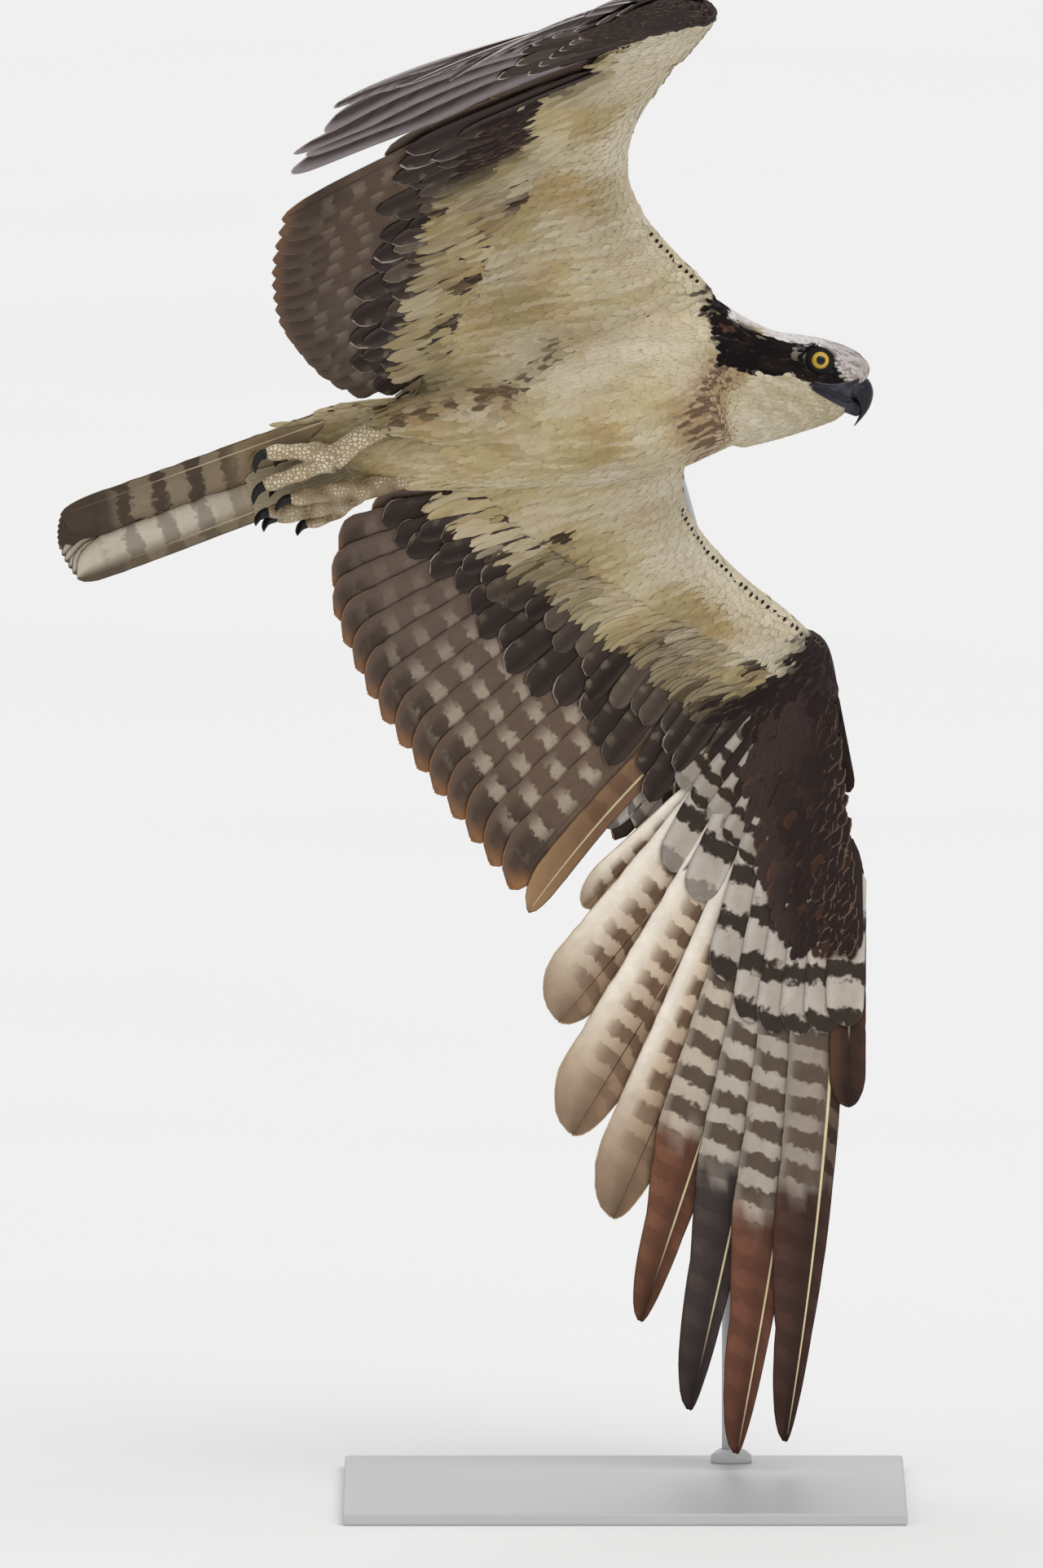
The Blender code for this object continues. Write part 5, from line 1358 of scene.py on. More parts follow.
UNDER_COVERT, CRESCENT, MOTTLED_FRINGE = linear("#352B28"), linear("#A3968A"), linear("#9A8D78")
OVER_COVERTS = (
    # start behind the flesh, end as a share of the way to the rear edge, level, half widths, colour
    (12, 0.62, 2.6, 9, 16, "#382B24"),
    (24, 0.36, 4.0, 8, 14, "#3E3028"),
    (40, 0.16, 5.2, 7, 12, "#43342B"),
)
MOTTLED = tuple(linear(c) for c in ("#4C403A", "#62554B", "#2E2522", "#453933", "#6E6053"))


def arm_feathers(side, wing):
    """Everything that grows from the arm: secondaries, and coverts below and above."""
    arm, rear = WINGS[side].arm, WINGS[side].rear
    lit, reach, made = side > 0, wing["reach"], []

    def grow(look, root, tip, outer, inner, **shape):
        made.append(vane(arm, root, tip, outer, inner, (-1, 0), look, **shape))

    for k in range(SECONDARIES):
        share = k / (SECONDARIES - 1)
        tip_out = reach - (reach - 76) * share
        root_out = 284 - 200 * share
        root, tip = (root_out, lining_end(root_out) + 16), (tip_out, rear(tip_out))
        outer, inner = (8, 17) if k == 0 and lit else (12, 26)
        grow(secondary_look(share, side), root, tip, outer, inner, tilt=0.055, quill=1.7 if k == 0 else 0.8,
             ragged=0.05, seed=k, narrow=(0.86, 0.9), tip_from=0.88)
    # Tertials: three soft inner feathers close the gap between the wing and the body
    for k in range(TERTIALS):
        root, tip = (78 - 10 * k, -112 + 6 * k), (70 - 12 * k, rear(76) + 12 + 14 * k)
        grow(secondary_look(1.0, side), root, tip, 12, 15, tilt=0.05, quill=0.7, seed=40 + k)
    tips = smooth_through(wing["covert_tips"])
    lining = smooth_through(wing["lining_tips"])
    covert_reach = min(reach + 8, 352)
    crescent = CRESCENT if lit else linear("#A79B91")
    draw = np.random.default_rng(55 + side)
    for k in range(17):
        share = k / 16
        root_out = 288 - 210 * share
        tip_out = covert_reach - (covert_reach - 58) * share
        dark = mix(UNDER_COVERT, MOTTLED[3], 0.5 * draw.random())
        tip = (tip_out + draw.uniform(-5, 5), tips(tip_out) + draw.uniform(-11, 9))
        width = (1.7 if lit else 2.3) * draw.random() ** 1.2
        look = covert_look(dark, crescent, width, 0.05, notches=0.35 * draw.random())
        grow(look, (root_out, lining_end(root_out) + 18), tip, 8.5, 14.5, level=-2.8, tilt=0.05, sink=1.2,
             quill=0.4, stations=15, columns=7, ragged=0.05, seed=60 + k)
    # A second row, a little shorter and softer, lies over the first; mottled in the middle of the wing
    for k in range(21):
        share = (k + 0.5) / 21
        root_out = 290 - 212 * share
        tip_out = covert_reach - 6 - (covert_reach - 64) * share
        back = lining(tip_out) * 0.5 + tips(tip_out) * 0.5 + draw.uniform(-12, 8)
        tip_out += draw.uniform(-4, 4)
        middle = 0.85 * step(abs(share - 0.45), 0.32, 0.14)
        tone, fringe = mix(UNDER_COVERT * 1.1, MOTTLED[k % 5], middle), mix(crescent, MOTTLED_FRINGE, middle)
        look = covert_look(tone, fringe, 1.6 * draw.random() ** 1.5, 0.10, notches=0.4 * draw.random())
        grow(look, (root_out, lining_end(root_out) + 26), (tip_out, back), 7, 11, level=-4.2, tilt=0.05,
             sink=1.8, quill=0.3, stations=14, columns=7, ragged=0.05, seed=90 + k)
    for row, (start, end_share, level, outer, inner, dark) in enumerate(OVER_COVERTS):
        look = covert_look(linear(dark), linear("#8F7C65"), 1.3)
        for k in range(17):
            share = (k + 0.5 * (row % 2)) / 17
            root_out = 290 - 220 * share
            tip_out = reach - 4 - (reach - 66) * share
            covered = lining_end(min(tip_out, 296))
            tip = (tip_out, covered + (rear(tip_out) - covered) * end_share)
            grow(look, (root_out, lining_end(root_out) + start), tip, outer, inner, level=level, tilt=0.05,
                 sink=-level * 0.4, quill=0.6, stations=12, columns=7, seed=160 + 20 * row + k)
    look = barred_covert_look("#968A80", 0.7, 20.0)
    if not lit:
        look = covert_look(linear("#4E4038"), linear("#A08E78"), 1.2, 0.15)
    for k, (root, tip) in enumerate(wing["wrist_feathers"]):
        grow(look, root, tip, 13, 21, level=1.9 - 0.05 * k, tilt=0.0, quill=0.9, stations=18, seed=230 + k)
    return made


PRIMARY_UNDER = (
    # inner web, outer web, finger colour, finger's edges, where the finger starts, how far bars cross,
    # and how far its shaft stays pale
    ("#E6DAC8", "#C2B19C", "#8A6C50", "#A98A68", 0.88, 0.45, 0.6),
    ("#E2D3BE", "#BFAE98", "#84664B", "#A17F5E", 0.78, 0.45, 0.6),
    ("#DCCBB4", "#BCAB95", "#7E6047", "#9A7757", 0.72, 0.48, 0.6),
    ("#D2BFA6", "#B5A48F", "#6E523D", "#8C6A4D", 0.70, 0.55, 0.6),
    ("#BFB1A0", "#ADA091", "#694636", "#875C46", 0.66, 1.0, 0.8),
    ("#B6AC9F", "#A49A8E", "#403736", "#534742", 0.61, 1.0, 0.8),
    ("#AFA497", "#978C80", "#684437", "#7E5341", 0.62, 1.0, 0.88),
    ("#9C9085", "#3A2C25", "#43302A", "#573D33", 0.58, 0.9, 0.88),
    ("#5A483C", "#3E302A", "#41302A", "#5C402C", 0.20, 0.3, 0.6),
)
THIN_PRIMARIES = 4
PRIMARY_BAR, THIN_BAR, THIN_SHAFT = linear("#5E5045"), linear("#6E5645"), linear("#B7A285")
THIN_BY_SHAFT, THIN_BY_EDGE, THIN_RIM = linear("#94765A"), linear("#FBF6EC"), linear("#C7AE8E")
# Right hand from below: painted shade in the dark web and bars, and a painted lilac sky reflection in the
# pale web, edge and rim
SKY_SHEEN_PALE, SHADED_DARK, SKY_SHEEN_EDGE = linear("#A79DA3"), linear("#41342F"), linear("#A1969A")
SHADED_BAR, SKY_SHEEN_RIM, SHADED_SHAFT = linear("#2A2120"), linear("#C3BBC4"), linear("#D5CDC6")
BAR_SPACING, UPPER_ROOT = 18.0, linear("#4A3A30")


def primary_look(k, side):
    """k counts the primaries from the inmost, a short one, out to the hand's front edge."""
    inner_web, outer_web, finger, finger_edge = (linear(c) for c in PRIMARY_UNDER[k][:4])
    finger_from, across, cream_to = PRIMARY_UNDER[k][4:]
    thin = k < THIN_PRIMARIES

    def look(t, s, upper):
        if upper:
            ground = mix(mix(UPPER_ROOT, UPPER_BROWN, step(t, 0.2, 0.5)), UPPER_BLACK, step(t, 0.45, 0.75))
            return dict(ground=ground, mark=linear("#6E5D50"), rim=linear("#6B5A4C"), duty=BAR_DUTY,
                        strength=0.5 * step(s, 0.1, 0.4) * step(t, 0.65, 0.5), rim_width=0.9,
                        turns=t / BAR_SPACING, shaft=plain_shaft(linear("#5A4638"), UPPER_BLACK))
        ground = mix(outer_web, inner_web, step(s, -0.1, 0.25))
        # Inner feathers are thin: whitish at the edge that the sky shines through, browner by the
        # shaft, and only slowly darker to their tips. The fingers of the others change at a line.
        if thin:
            ground = mix(ground, THIN_BY_SHAFT, 0.75 * step(s, 0.7, 0.0) * step(t, 0.3, 0.75))
            ground = mix(ground, THIN_BY_EDGE, 0.7 * step(s, 0.45, 0.9) * step(t, 0.95, 0.6))
            fingered = 0.8 * step(t + 0.06 * s, finger_from, 1.05)
            mark, rim, pale_shaft, faded, rim_width = THIN_BAR, THIN_RIM, THIN_SHAFT, 1.0, 0.9
        else:
            fingered = step(t + 0.015 * np.sin(9 * s), finger_from - 0.015, finger_from + 0.03)
            mark = mix(PRIMARY_BAR, finger * 0.55, fingered)
            rim, pale_shaft, faded, rim_width = finger * 0.6, SHAFT_CREAM, 0.62, 0.8
        ends = mix(finger, finger_edge, 0.7 * step(s, 0.2, 0.9) + 0.4 * step(s, -0.5, -1))
        ends = ends * (1 - 0.38 * step(t, 0.82, 1.0) - 0.25 * step(np.abs(s), 0.45, 0.1))[:, None]
        ground = mix(ground, ends, fingered)
        strength = np.where(s < 0.02, 1.0, step(s, across + 0.1, across - 0.12))
        strength = strength * (1 - faded * np.clip(fingered * 1.6, 0, 1)) * step(t, 0.1, 0.2)
        pale_to = cream_to
        if side < 0:
            # The right hand is seen along itself, in its own shade: painted shade darkens its webs, a painted
            # lilac sky reflection lightens the outer web, the inner edge and the rims, and its shafts are
            # pale
            darker = step(s, -0.75, -0.1) * (0.75 + 0.25 * step(s, 0.9, 0.4))
            ground = mix(mix(SKY_SHEEN_PALE, SHADED_DARK, darker), SKY_SHEEN_EDGE, 0.75 * step(s, 0.5, 0.95))
            mark, rim, pale_shaft, pale_to, rim_width = SHADED_BAR, SKY_SHEEN_RIM, SHADED_SHAFT, 0.9, 0.8
        spacing = BAR_SPACING if k < 3 else 1.2 * BAR_SPACING
        return dict(ground=ground, mark=mark, rim=rim, strength=strength, duty=BAR_DUTY,
                    rim_width=rim_width * step(t, 0.3, 0.7), turns=(t + 0.018 * s) / spacing + 0.0021 * k,
                    shaft=lambda u: mix(pale_shaft, SHAFT_DARK, step(u, pale_to, pale_to + 0.15)))

    return look


TIP_BAR_FROM_END = 0.045
UPPER_FRINGE, RIGHT_FRINGE = linear("#7D6A57"), linear("#B9AFA8")


def barred_covert_look(pale, dark_tip, bar_spacing):
    """A greater covert under the hand: pale grey with dark bars, counted from its tip, and a dark tip."""

    def look(t, s, upper):
        if upper:
            return covert_look(UPPER_BROWN, UPPER_FRINGE)(t, s, upper)
        ground = mix(linear(pale), linear("#CFCAC4"), 0.4 * step(np.abs(s), 0.3, 0.9))
        strength = (0.98 * step(t, 0.25, 0.4) - (1 - dark_tip) * step(t, 0.86, 0.9)).clip(0, 1)
        turns = (t - 1 + TIP_BAR_FROM_END) / bar_spacing + 0.0004 * s
        return dict(ground=ground, mark=linear("#352B24"), rim=linear("#8F877E"), strength=strength,
                    rim_width=0.4 * step(t, 0.7, 0.9), turns=turns, duty=-0.05,
                    shaft=plain_shaft(linear("#B0A698"), linear("#3A302B")))

    return look


# Their tips, out along the hand and back across it
LONG_COVERTS = ((146, 92), (164, 74), (214, 54), (240, 36), (246, 20), (246, 4), (243, -12), (238, -27))


def hand_feathers(side, wing):
    """Everything that grows from the hand: primaries, their coverts and the alula."""
    made = []

    def grow(look, root, tip, outer, inner, **shape):
        made.append(vane(WINGS[side].hand, root, tip, outer, inner, (0, 1), look, **shape))

    def under_covert(k, pale, dark_tip, bar_spacing):
        if side < 0:
            return covert_look(mix(UNDER_COVERT, MOTTLED[k % 5], 0.5), RIGHT_FRINGE, 1.8)
        return barred_covert_look(pale, dark_tip, bar_spacing)

    for k, (root, tip, outer, inner, narrow) in enumerate((wing["short_primary"], *PRIMARIES)):
        tip_from = FINGER_TIP_FROM if narrow[1] < FINGER_SHARE else 0.86
        quill = 1.0 if k < THIN_PRIMARIES else 1.7
        grow(primary_look(k, side), root, tip, outer, inner, tilt=0.085, bow=PRIMARY_BOWS.get(k - 1, 0),
             narrow=narrow, tip_from=tip_from, quill=quill, stations=36, columns=11, ragged=0.03,
             seed=300 + k)
    for k, (tip_out, tip_back) in enumerate(LONG_COVERTS):
        # Eight long ones on the primaries
        share = k / (len(LONG_COVERTS) - 1)
        root, tip = (24 + 102 * share, 36 - 58 * share), (tip_out if side > 0 else 0.9 * tip_out, tip_back)
        look = under_covert(k, "#B2A79B", 1.0 if k > 1 else 0.5, 31.0)
        grow(look, root, tip, 10, 15, level=-3.4 + 0.05 * k, tilt=0.05, sink=1.4, quill=0.5, stations=24,
             columns=9, ragged=0.03, seed=315 + k)
    for k in range(10):
        # Ten shorter ones over them
        share = k / 9
        root, tip = (24 + 102 * share, 36 - 58 * share), (92 + 104 * share, 90 - 104 * share)
        look = under_covert(k, "#9C9185", 1.0 if k in (1, 3, 4, 6) else 0.3, 17.0)
        grow(look, root, tip, 8, 12, level=-4.0, tilt=0.06, sink=1.6, quill=0.4, stations=18, columns=7,
             ragged=0.04, seed=328 + k)
    for k in range(12):
        # Twelve dark ones that end the patch under the wrist
        share = (k + 0.5) / 12
        root, tip = (14 + 108 * share, 38 - 62 * share), (62 + 134 * share, 84 - 116 * share)
        grow(covert_look(CARPAL, RUFOUS, 0.8), root, tip, 6.5, 11, level=-4.4, tilt=0.05, sink=2.0, quill=0.3,
             stations=12, columns=7, seed=340 + k)
    for row, (level, reach) in enumerate(((3.6, 1.0), (5.0, 0.62))):
        # Two rows on the upper side
        for k in range(10):
            share = (k + 0.5 * row) / 9.5
            root = (20 + 104 * share, 34 - 58 * share)
            tip = (root[0] + (56 + 50 * share) * reach, root[1] + (58 - 62 * share) * reach)
            grow(covert_look(MANTLE, UPPER_FRINGE, 1.2), root, tip, 7, 12, level=level, tilt=0.06, sink=-1.5,
                 quill=0.6, stations=12, columns=7, seed=360 + 12 * row + k)
    look = covert_look(linear("#2A211D"), linear("#6E5C4B"), 1.0)
    for k, (root, tip) in enumerate(ALULA):
        grow(look, root, tip, 5, 10, level=7.2 - 0.5 * k, tilt=0.04, sink=-2, quill=0.8, stations=14,
             columns=7, seed=390 + k)
    return made


for side, label, wing, _ in SIDES:
    fix_vanes("arm_feathers_" + label, "wing_feathers", arm_feathers(side, wing), "wing_arm_" + label)
    fix_vanes("hand_feathers_" + label, "wing_feathers", hand_feathers(side, wing), "wing_hand_" + label)


# The tail: twelve square-ended feathers, the middle pair on top, grey-buff below with dark bars and
# a darker end, brown above, and soft coverts over their roots.

TAIL_FEATHERS, TAIL_ROOT_SPREAD, TAIL_TIP_SPREAD = 12, 30, 33
TAIL_BUFF, TAIL_PALE, TAIL_BAR = linear("#8C7D68"), linear("#D2C8B6"), linear("#463930")
TAIL_WARM, TAIL_EDGE, TAIL_END = linear("#A08A68"), linear("#6B543F"), linear("#43372F")
TAIL_UPPER = linear("#4A3A2E")


def tail_look(share, side):
    """share runs from 0 at the middle feather to 1 at the outermost; side is the half of the tail."""

    def look(t, s, upper):
        if upper:
            ground = mix(TAIL_UPPER, UPPER_BROWN, step(t, 0.6, 0.9))
            return dict(ground=ground, mark=UPPER_BLACK, rim=linear("#B5A58D"), duty=BAR_DUTY,
                        strength=0.7 * step(t, 0.15, 0.25), rim_width=0.8, turns=t / 27.0,
                        shaft=plain_shaft(linear("#8A775E"), UPPER_BROWN))
        # The left half, lower in the photo, is paler, and its bars fade on the outer feathers
        pale, barred, end = TAIL_BUFF, 0.9, 1
        if side > 0:
            pale, barred, end = TAIL_PALE, 0.45 + 0.4 * (1 - share), 0.7 * step(s, 0.3, -0.3)
        ground = mix(TAIL_BUFF * 0.8, pale, step(s, -0.1, 0.35) * (0.5 + 0.4 * share))
        ground = mix(ground, TAIL_WARM, 0.5 * step(t, 0.5, 0.3))
        ground = mix(ground, TAIL_EDGE, 0.6 * step(s, 0.72, 0.98))
        ground = mix(ground, TAIL_END, 0.9 * step(t, 0.76, 0.84) * end)
        return dict(ground=ground, mark=TAIL_BAR, rim=TAIL_BAR * 0.7, duty=-0.1,
                    strength=barred * step(t, 0.26, 0.44) * step(t, 0.9, 0.84),
                    rim_width=1.0 - 0.4 * t, turns=t / 24.0 + 0.1 * share,
                    shaft=plain_shaft(linear("#C2B296"), linear("#7A6652")))

    return look


tail_parts = []
for k in range(TAIL_FEATHERS // 2):
    share = (k + 0.5) / (TAIL_FEATHERS / 2)
    inner = 15 + 15 * float(step(share, 0.5, 0.9))
    root, tip = (-TAIL_ROOT_SPREAD * share, 18), (-TAIL_TIP_SPREAD * share, TAIL_LENGTH - 7 * share**2)
    for side in (1, -1):

        def half_tail(out, back, up, side=side):
            """A place on one half of the tail, out from its middle."""
            off = TAIL_ROOT_OFF + (TAIL_TIP_OFF - TAIL_ROOT_OFF) * back / TAIL_LENGTH
            return tail_sheet(off - side * out, back, up)

        level, seed = 0.6 - 5.2 * share + 0.35 * side, 400 + 2 * k + (side > 0)
        look = tail_look(share, side)
        tail_parts.append(vane(half_tail, root, tip, 9, inner, (1, 0), look, level=level, tilt=-0.03,
                               quill=1.0, stations=26, ragged=0.10, seed=seed))
# Soft coverts: two rows below and two above
UNDER_TAIL, OVER_TAIL = ("#A5987C", "#B9AE94"), ("#4A3A2E", "#8A765F")
TAIL_COVERTS = (
    # level, where they start, how far they reach, how many, their colours
    (-5.6, 10, 66, 9, UNDER_TAIL),
    (-7.4, -6, 48, 9, UNDER_TAIL),
    (4.2, 14, 66, 8, OVER_TAIL),
    (5.4, 0, 48, 8, OVER_TAIL),
)
for row, (level, start, reach, count, colours) in enumerate(TAIL_COVERTS):
    look = covert_look(*map(linear, colours), 1.0, 0.2)
    for k in range(count):
        across = -15 + 30 * (k + 0.5) / count
        root, tip = (across * 0.8, start), (across * 1.25, start + reach)
        tail_parts.append(vane(tail_sheet, root, tip, 6, 6, (1, 0), look, level=level, tilt=0.0,
                               sink=-level * 0.2, quill=0.4, stations=12, columns=7, seed=440 + 10 * row + k))
fix_vanes("tail_feathers", "tail_feathers", tail_parts, "tail")


# The eyes: a clear wet ball with a yellow iris, darker at its rim, round a black pupil, held by
# thin dark grey lids that lie on it as a ring.

EYE_OUT = np.array((0.10, 1.0, 0.04))
PUPIL, IRIS, IRIS_RIM = 2.9, 5.75, 0.4
WHITE_OF_EYE = 9.0
# Radius and height above the ball's middle of the lid's soft ring, from the ball out and back below
LID_PROFILE = (
    (5.7, 4.6), (5.85, 5.25), (6.5, 5.5), (7.5, 5.0), (8.6, 3.9), (9.6, 2.4), (9.6, 0.4), (5.7, 0.4),
)
lid_look, tree, shader, place = new_material("bare lid skin")
creases = node(tree, "TexNoise", {"Vector": place, "Scale": 900.0, "Detail": 3.0})
colour = node(tree, "MixRGB", {"Fac": creases, "Color1": linear("#0E0C0E"), "Color2": linear("#1E1B1D")})
bump = node(tree, "Bump", {"Height": creases, "Distance": 0.2 * MM, "Strength": 0.6})
feed(tree, shader, {"Base Color": colour, "Normal": bump, "Roughness": 0.75, "Specular IOR Level": 0.2})


def ring_tube(rings):
    """A closed tube through rings that come back to the first, as points and faces."""
    count, sides = rings.shape[:2]
    i, j = np.arange(sides), (np.arange(sides) + 1) % sides
    faces = []
    for low in range(0, count * sides, sides):
        high = (low + sides) % (count * sides)
        faces += [np.stack([low + i, low + j, high + j], 1), np.stack([low + i, high + j, high + i], 1)]
    points = rings.reshape(-1, 3)
    return points, outwards(points, np.concatenate(faces))


for side, label, _, _ in SIDES:
    gaze = EYE_OUT * (1, side, 1) / np.linalg.norm(EYE_OUT)
    centre = EYE_AT * (1, side, 1)
    bpy.ops.object.select_all(action="DESELECT")
    bpy.ops.mesh.primitive_uv_sphere_add(segments=48, ring_count=32, radius=EYE_RADIUS)
    eye = bpy.context.object
    eye.name = eye.data.name = "eyeball_" + label
    # The cornea bulges a little where it looks out
    ball = np.zeros(len(eye.data.vertices) * 3)
    eye.data.vertices.foreach_get("co", ball)
    ball = ball.reshape(-1, 3)
    facing = ball @ gaze / EYE_RADIUS
    ball += np.outer(0.5 * step(facing, 0.72, 1.0), gaze)
    spread = np.linalg.norm(ball - np.outer(ball @ gaze, gaze), axis=1)
    eye.data.vertices.foreach_set("co", from_head(ball + centre).astype(np.float32).ravel())
    number_attribute(eye, "FromPupil", np.where(facing > 0, spread, WHITE_OF_EYE))
    bpy.ops.object.shade_smooth()
    # Cornea and iris: wet and glossy, the colour painted by distance from the middle of the pupil
    eye_look, tree, shader, place = new_material("wet eye " + label)
    away = node(tree, "Attribute", attribute_name="FromPupil").outputs["Fac"]
    fibres = node(tree, "TexNoise", {"Vector": place, "Scale": 1400.0, "Detail": 3.0})
    yellow = node(tree, "MixRGB", {"Fac": fibres, "Color1": linear("#B08A2E"), "Color2": linear("#D6B84E")})
    rim_range = {"Value": away, "From Min": IRIS - 0.1 - IRIS_RIM, "From Max": IRIS - 0.1}
    rim = node(tree, "MapRange", rim_range, interpolation_type="SMOOTHSTEP")
    inner = node(tree, "MixRGB", {"Fac": rim, "Color1": yellow, "Color2": linear("#3B2A12")})
    hole = node(tree, "MapRange", {"Value": away, "From Min": PUPIL - 0.1, "From Max": PUPIL + 0.15})
    whole = node(tree, "MixRGB", {"Fac": hole, "Color1": linear("#060606"), "Color2": inner})
    feed(tree, shader, {"Base Color": whole, "Roughness": 0.16, "Specular IOR Level": 0.25})
    feed(tree, shader, {"Coat Weight": 0.25, "Coat Roughness": 0.03})
    eye.data.materials.append(eye_look)
    set_piece(eye, "eye", "eye_" + label)
    # Lids: a soft ring from the ball out to the feathers, a little higher over the eye
    upright = np.cross(gaze, (1, 0, 0)) * side
    upright /= np.linalg.norm(upright)
    flat = np.cross(upright, gaze)
    rings = []
    for radius, height in LID_PROFILE:
        ring = []
        for turn in np.linspace(0, 2 * math.pi, 49)[:-1]:
            brow = 0.6 * max(0, math.sin(turn)) * (radius > 6)
            oval_radius = radius * (1 - 0.05 * abs(math.sin(turn)))
            outward = oval_radius * (math.cos(turn) * flat + math.sin(turn) * upright)
            ring.append(centre + gaze * (height + brow) + outward)
        rings.append(ring)
    lid = mesh_from("eyelid_" + label, *ring_tube(from_head(np.array(rings))))
    lid.data.materials.append(lid_look)
    set_piece(lid, "eye")


# The bill: black horn, hooked well past the lower half, polished by use, with a soft blue-grey cere
# at its base, slit nostrils, and a grey gape that runs back below the eye.

BILL_UPPER = (
    # ahead in the head, height of its middle, half height and half width
    (33, 0.8, 8.8, 9.8),
    (35, 0.6, 8.6, 9.4),
    (38.5, 0.2, 9.4, 8.4),
    (42, -2.4, 9.6, 6.8),
    (44.6, -7.0, 8.8, 5.0),
    (45.2, -13.2, 6.0, 3.4),
    (43.6, -19.2, 3.2, 2.1),
    (41.6, -24.4, 1.0, 0.8),
)
BILL_LOWER = (
    (30, -12.8, 5.4, 9.2),
    (35, -13.2, 5.0, 7.6),
    (38, -13.4, 5.0, 6.2),
    (40.8, -13.6, 4.8, 4.6),
    (42.8, -13.8, 3.8, 3.0),
)
NOSTRIL_AT, NOSTRIL_SIZE, NOSTRIL_DEPTH = (39, 1.5), (2.2, 1.1), 1.6
bill_horn, tree, shader, place = new_material("polished bill horn")
cere = node(tree, "Attribute", attribute_name="Cere").outputs["Fac"]
growth = node(tree, "TexNoise", {"Vector": place, "Scale": 420.0, "Detail": 4.0})
horn = node(tree, "MixRGB", {"Fac": growth, "Color1": linear("#0C0B12"), "Color2": linear("#1C1B29")})
soft = node(tree, "MixRGB", {"Fac": growth, "Color1": linear("#26252E"), "Color2": linear("#454653")})
both = node(tree, "MixRGB", {"Fac": cere, "Color1": horn, "Color2": soft})
gloss = node(tree, "MapRange", {"Value": cere, "To Min": 0.24, "To Max": 0.5})
bump = node(tree, "Bump", {"Height": growth, "Distance": 0.15 * MM, "Strength": 0.4})
feed(tree, shader, {"Base Color": both, "Roughness": gloss, "Specular IOR Level": 0.35, "Normal": bump})


def horn_piece(name, points, faces, cere_share, *nodes):
    """A piece of the bill; cere_share is 1 where it is soft bare skin and 0 where it is horn."""
    piece = mesh_from(name, points, faces)
    number_attribute(piece, "Cere", cere_share)
    piece.data.materials.append(bill_horn)
    set_piece(piece, "bill", *nodes)


rings, weights = [], []
for order, ahead, high, below, half in through([(k, *row) for k, row in enumerate(BILL_UPPER)], 5):
    lean = math.radians(min(max(order - 1, 0), 5) * 17)
    ring = oval(half, 0.8 * below, below, 32, 0.95)
    forward = ahead + (ring[:, 1] + 1) * math.sin(lean) * 0.5
    rings.append(from_head(np.stack([forward, ring[:, 0], high + ring[:, 1] * math.cos(lean * 0.8)], 1)))
    weights.append(np.full(32, 1 - step(order, 1.3, 2.3)))
points, faces = closed_loft(rings)
# The nostril is a shallow slit on each side
in_head = to_head(points)
from_slit = (in_head[:, (0, 2)] - NOSTRIL_AT) / NOSTRIL_SIZE
away = np.hypot(from_slit[:, 0], from_slit[:, 1])
for s in (1, -1):
    pit = (away < 1) & (in_head[:, 1] * s > 3)
    points[pit] -= np.outer(s * NOSTRIL_DEPTH * (1 - away[pit]), HEAD_TURN @ (0, 1, 0))
horn_piece("bill_hook", points, faces, np.r_[np.concatenate(weights), 1, 0], "bill_upper")

rings = []
for ahead, middle, half_height, half in through(BILL_LOWER, 5):
    rings.append(from_head(flat_ring(ahead, half, half_height, half_height, 28) + (0, 0, middle)))
points, faces = closed_loft(rings)
horn_piece("bill_under", points, faces, 0.75 * step(to_head(points)[:, 0], 40, 35), "bill_lower")

# The cere: a thin plate of bare blue-grey skin on each cheek, from the bill to the gape's corner
CERE_STEPS, CERE_OVERLAP, CERE_INSIDE = (9, 16), 1.0, 1.2
plates = []
for s in (1, -1):
    outside, inside = [], []
    for v, u in itertools.product(*(np.linspace(0, 1, steps) for steps in CERE_STEPS)):
        ahead = CERE_CORNER + (CERE_FRONT - CERE_CORNER) * u
        low, high = cere_heights(u)
        low, high = low - CERE_OVERLAP, high + CERE_OVERLAP
        height = low + (high - low) * v
        beside = Vector(from_head((ahead, s * 45.0, height)))
        found, normal, _, _ = skin_tree.ray_cast(beside, Vector(HEAD_TURN @ (0, -s, 0)))
        if found is None:
            found, normal, _, _ = skin_tree.find_nearest(Vector(from_head((ahead, s * 6.0, height))))
        rise = 1.15 - 0.9 * max(abs(2 * v - 1) ** 4, (1 - u) ** 6) + 0.25 * math.sin(math.pi * v) * u
        outside.append(np.array(found) + np.array(normal) * rise)
        inside.append(np.array(found) - np.array(normal) * CERE_INSIDE)
    points = np.array(outside + inside)
    plates.append((points, outwards(points, two_faced(*CERE_STEPS))))
points, faces = joined(plates)
in_head = to_head(points)
streak = ripple(in_head * (0.5, 0.3, 1.3), 5, 31)
softer = np.clip(1.15 * step(streak, 0.35, 0.8) * step(in_head[:, 0], 12, 22) + 0.1, 0, 1)
horn_piece("cere", points, faces, softer)

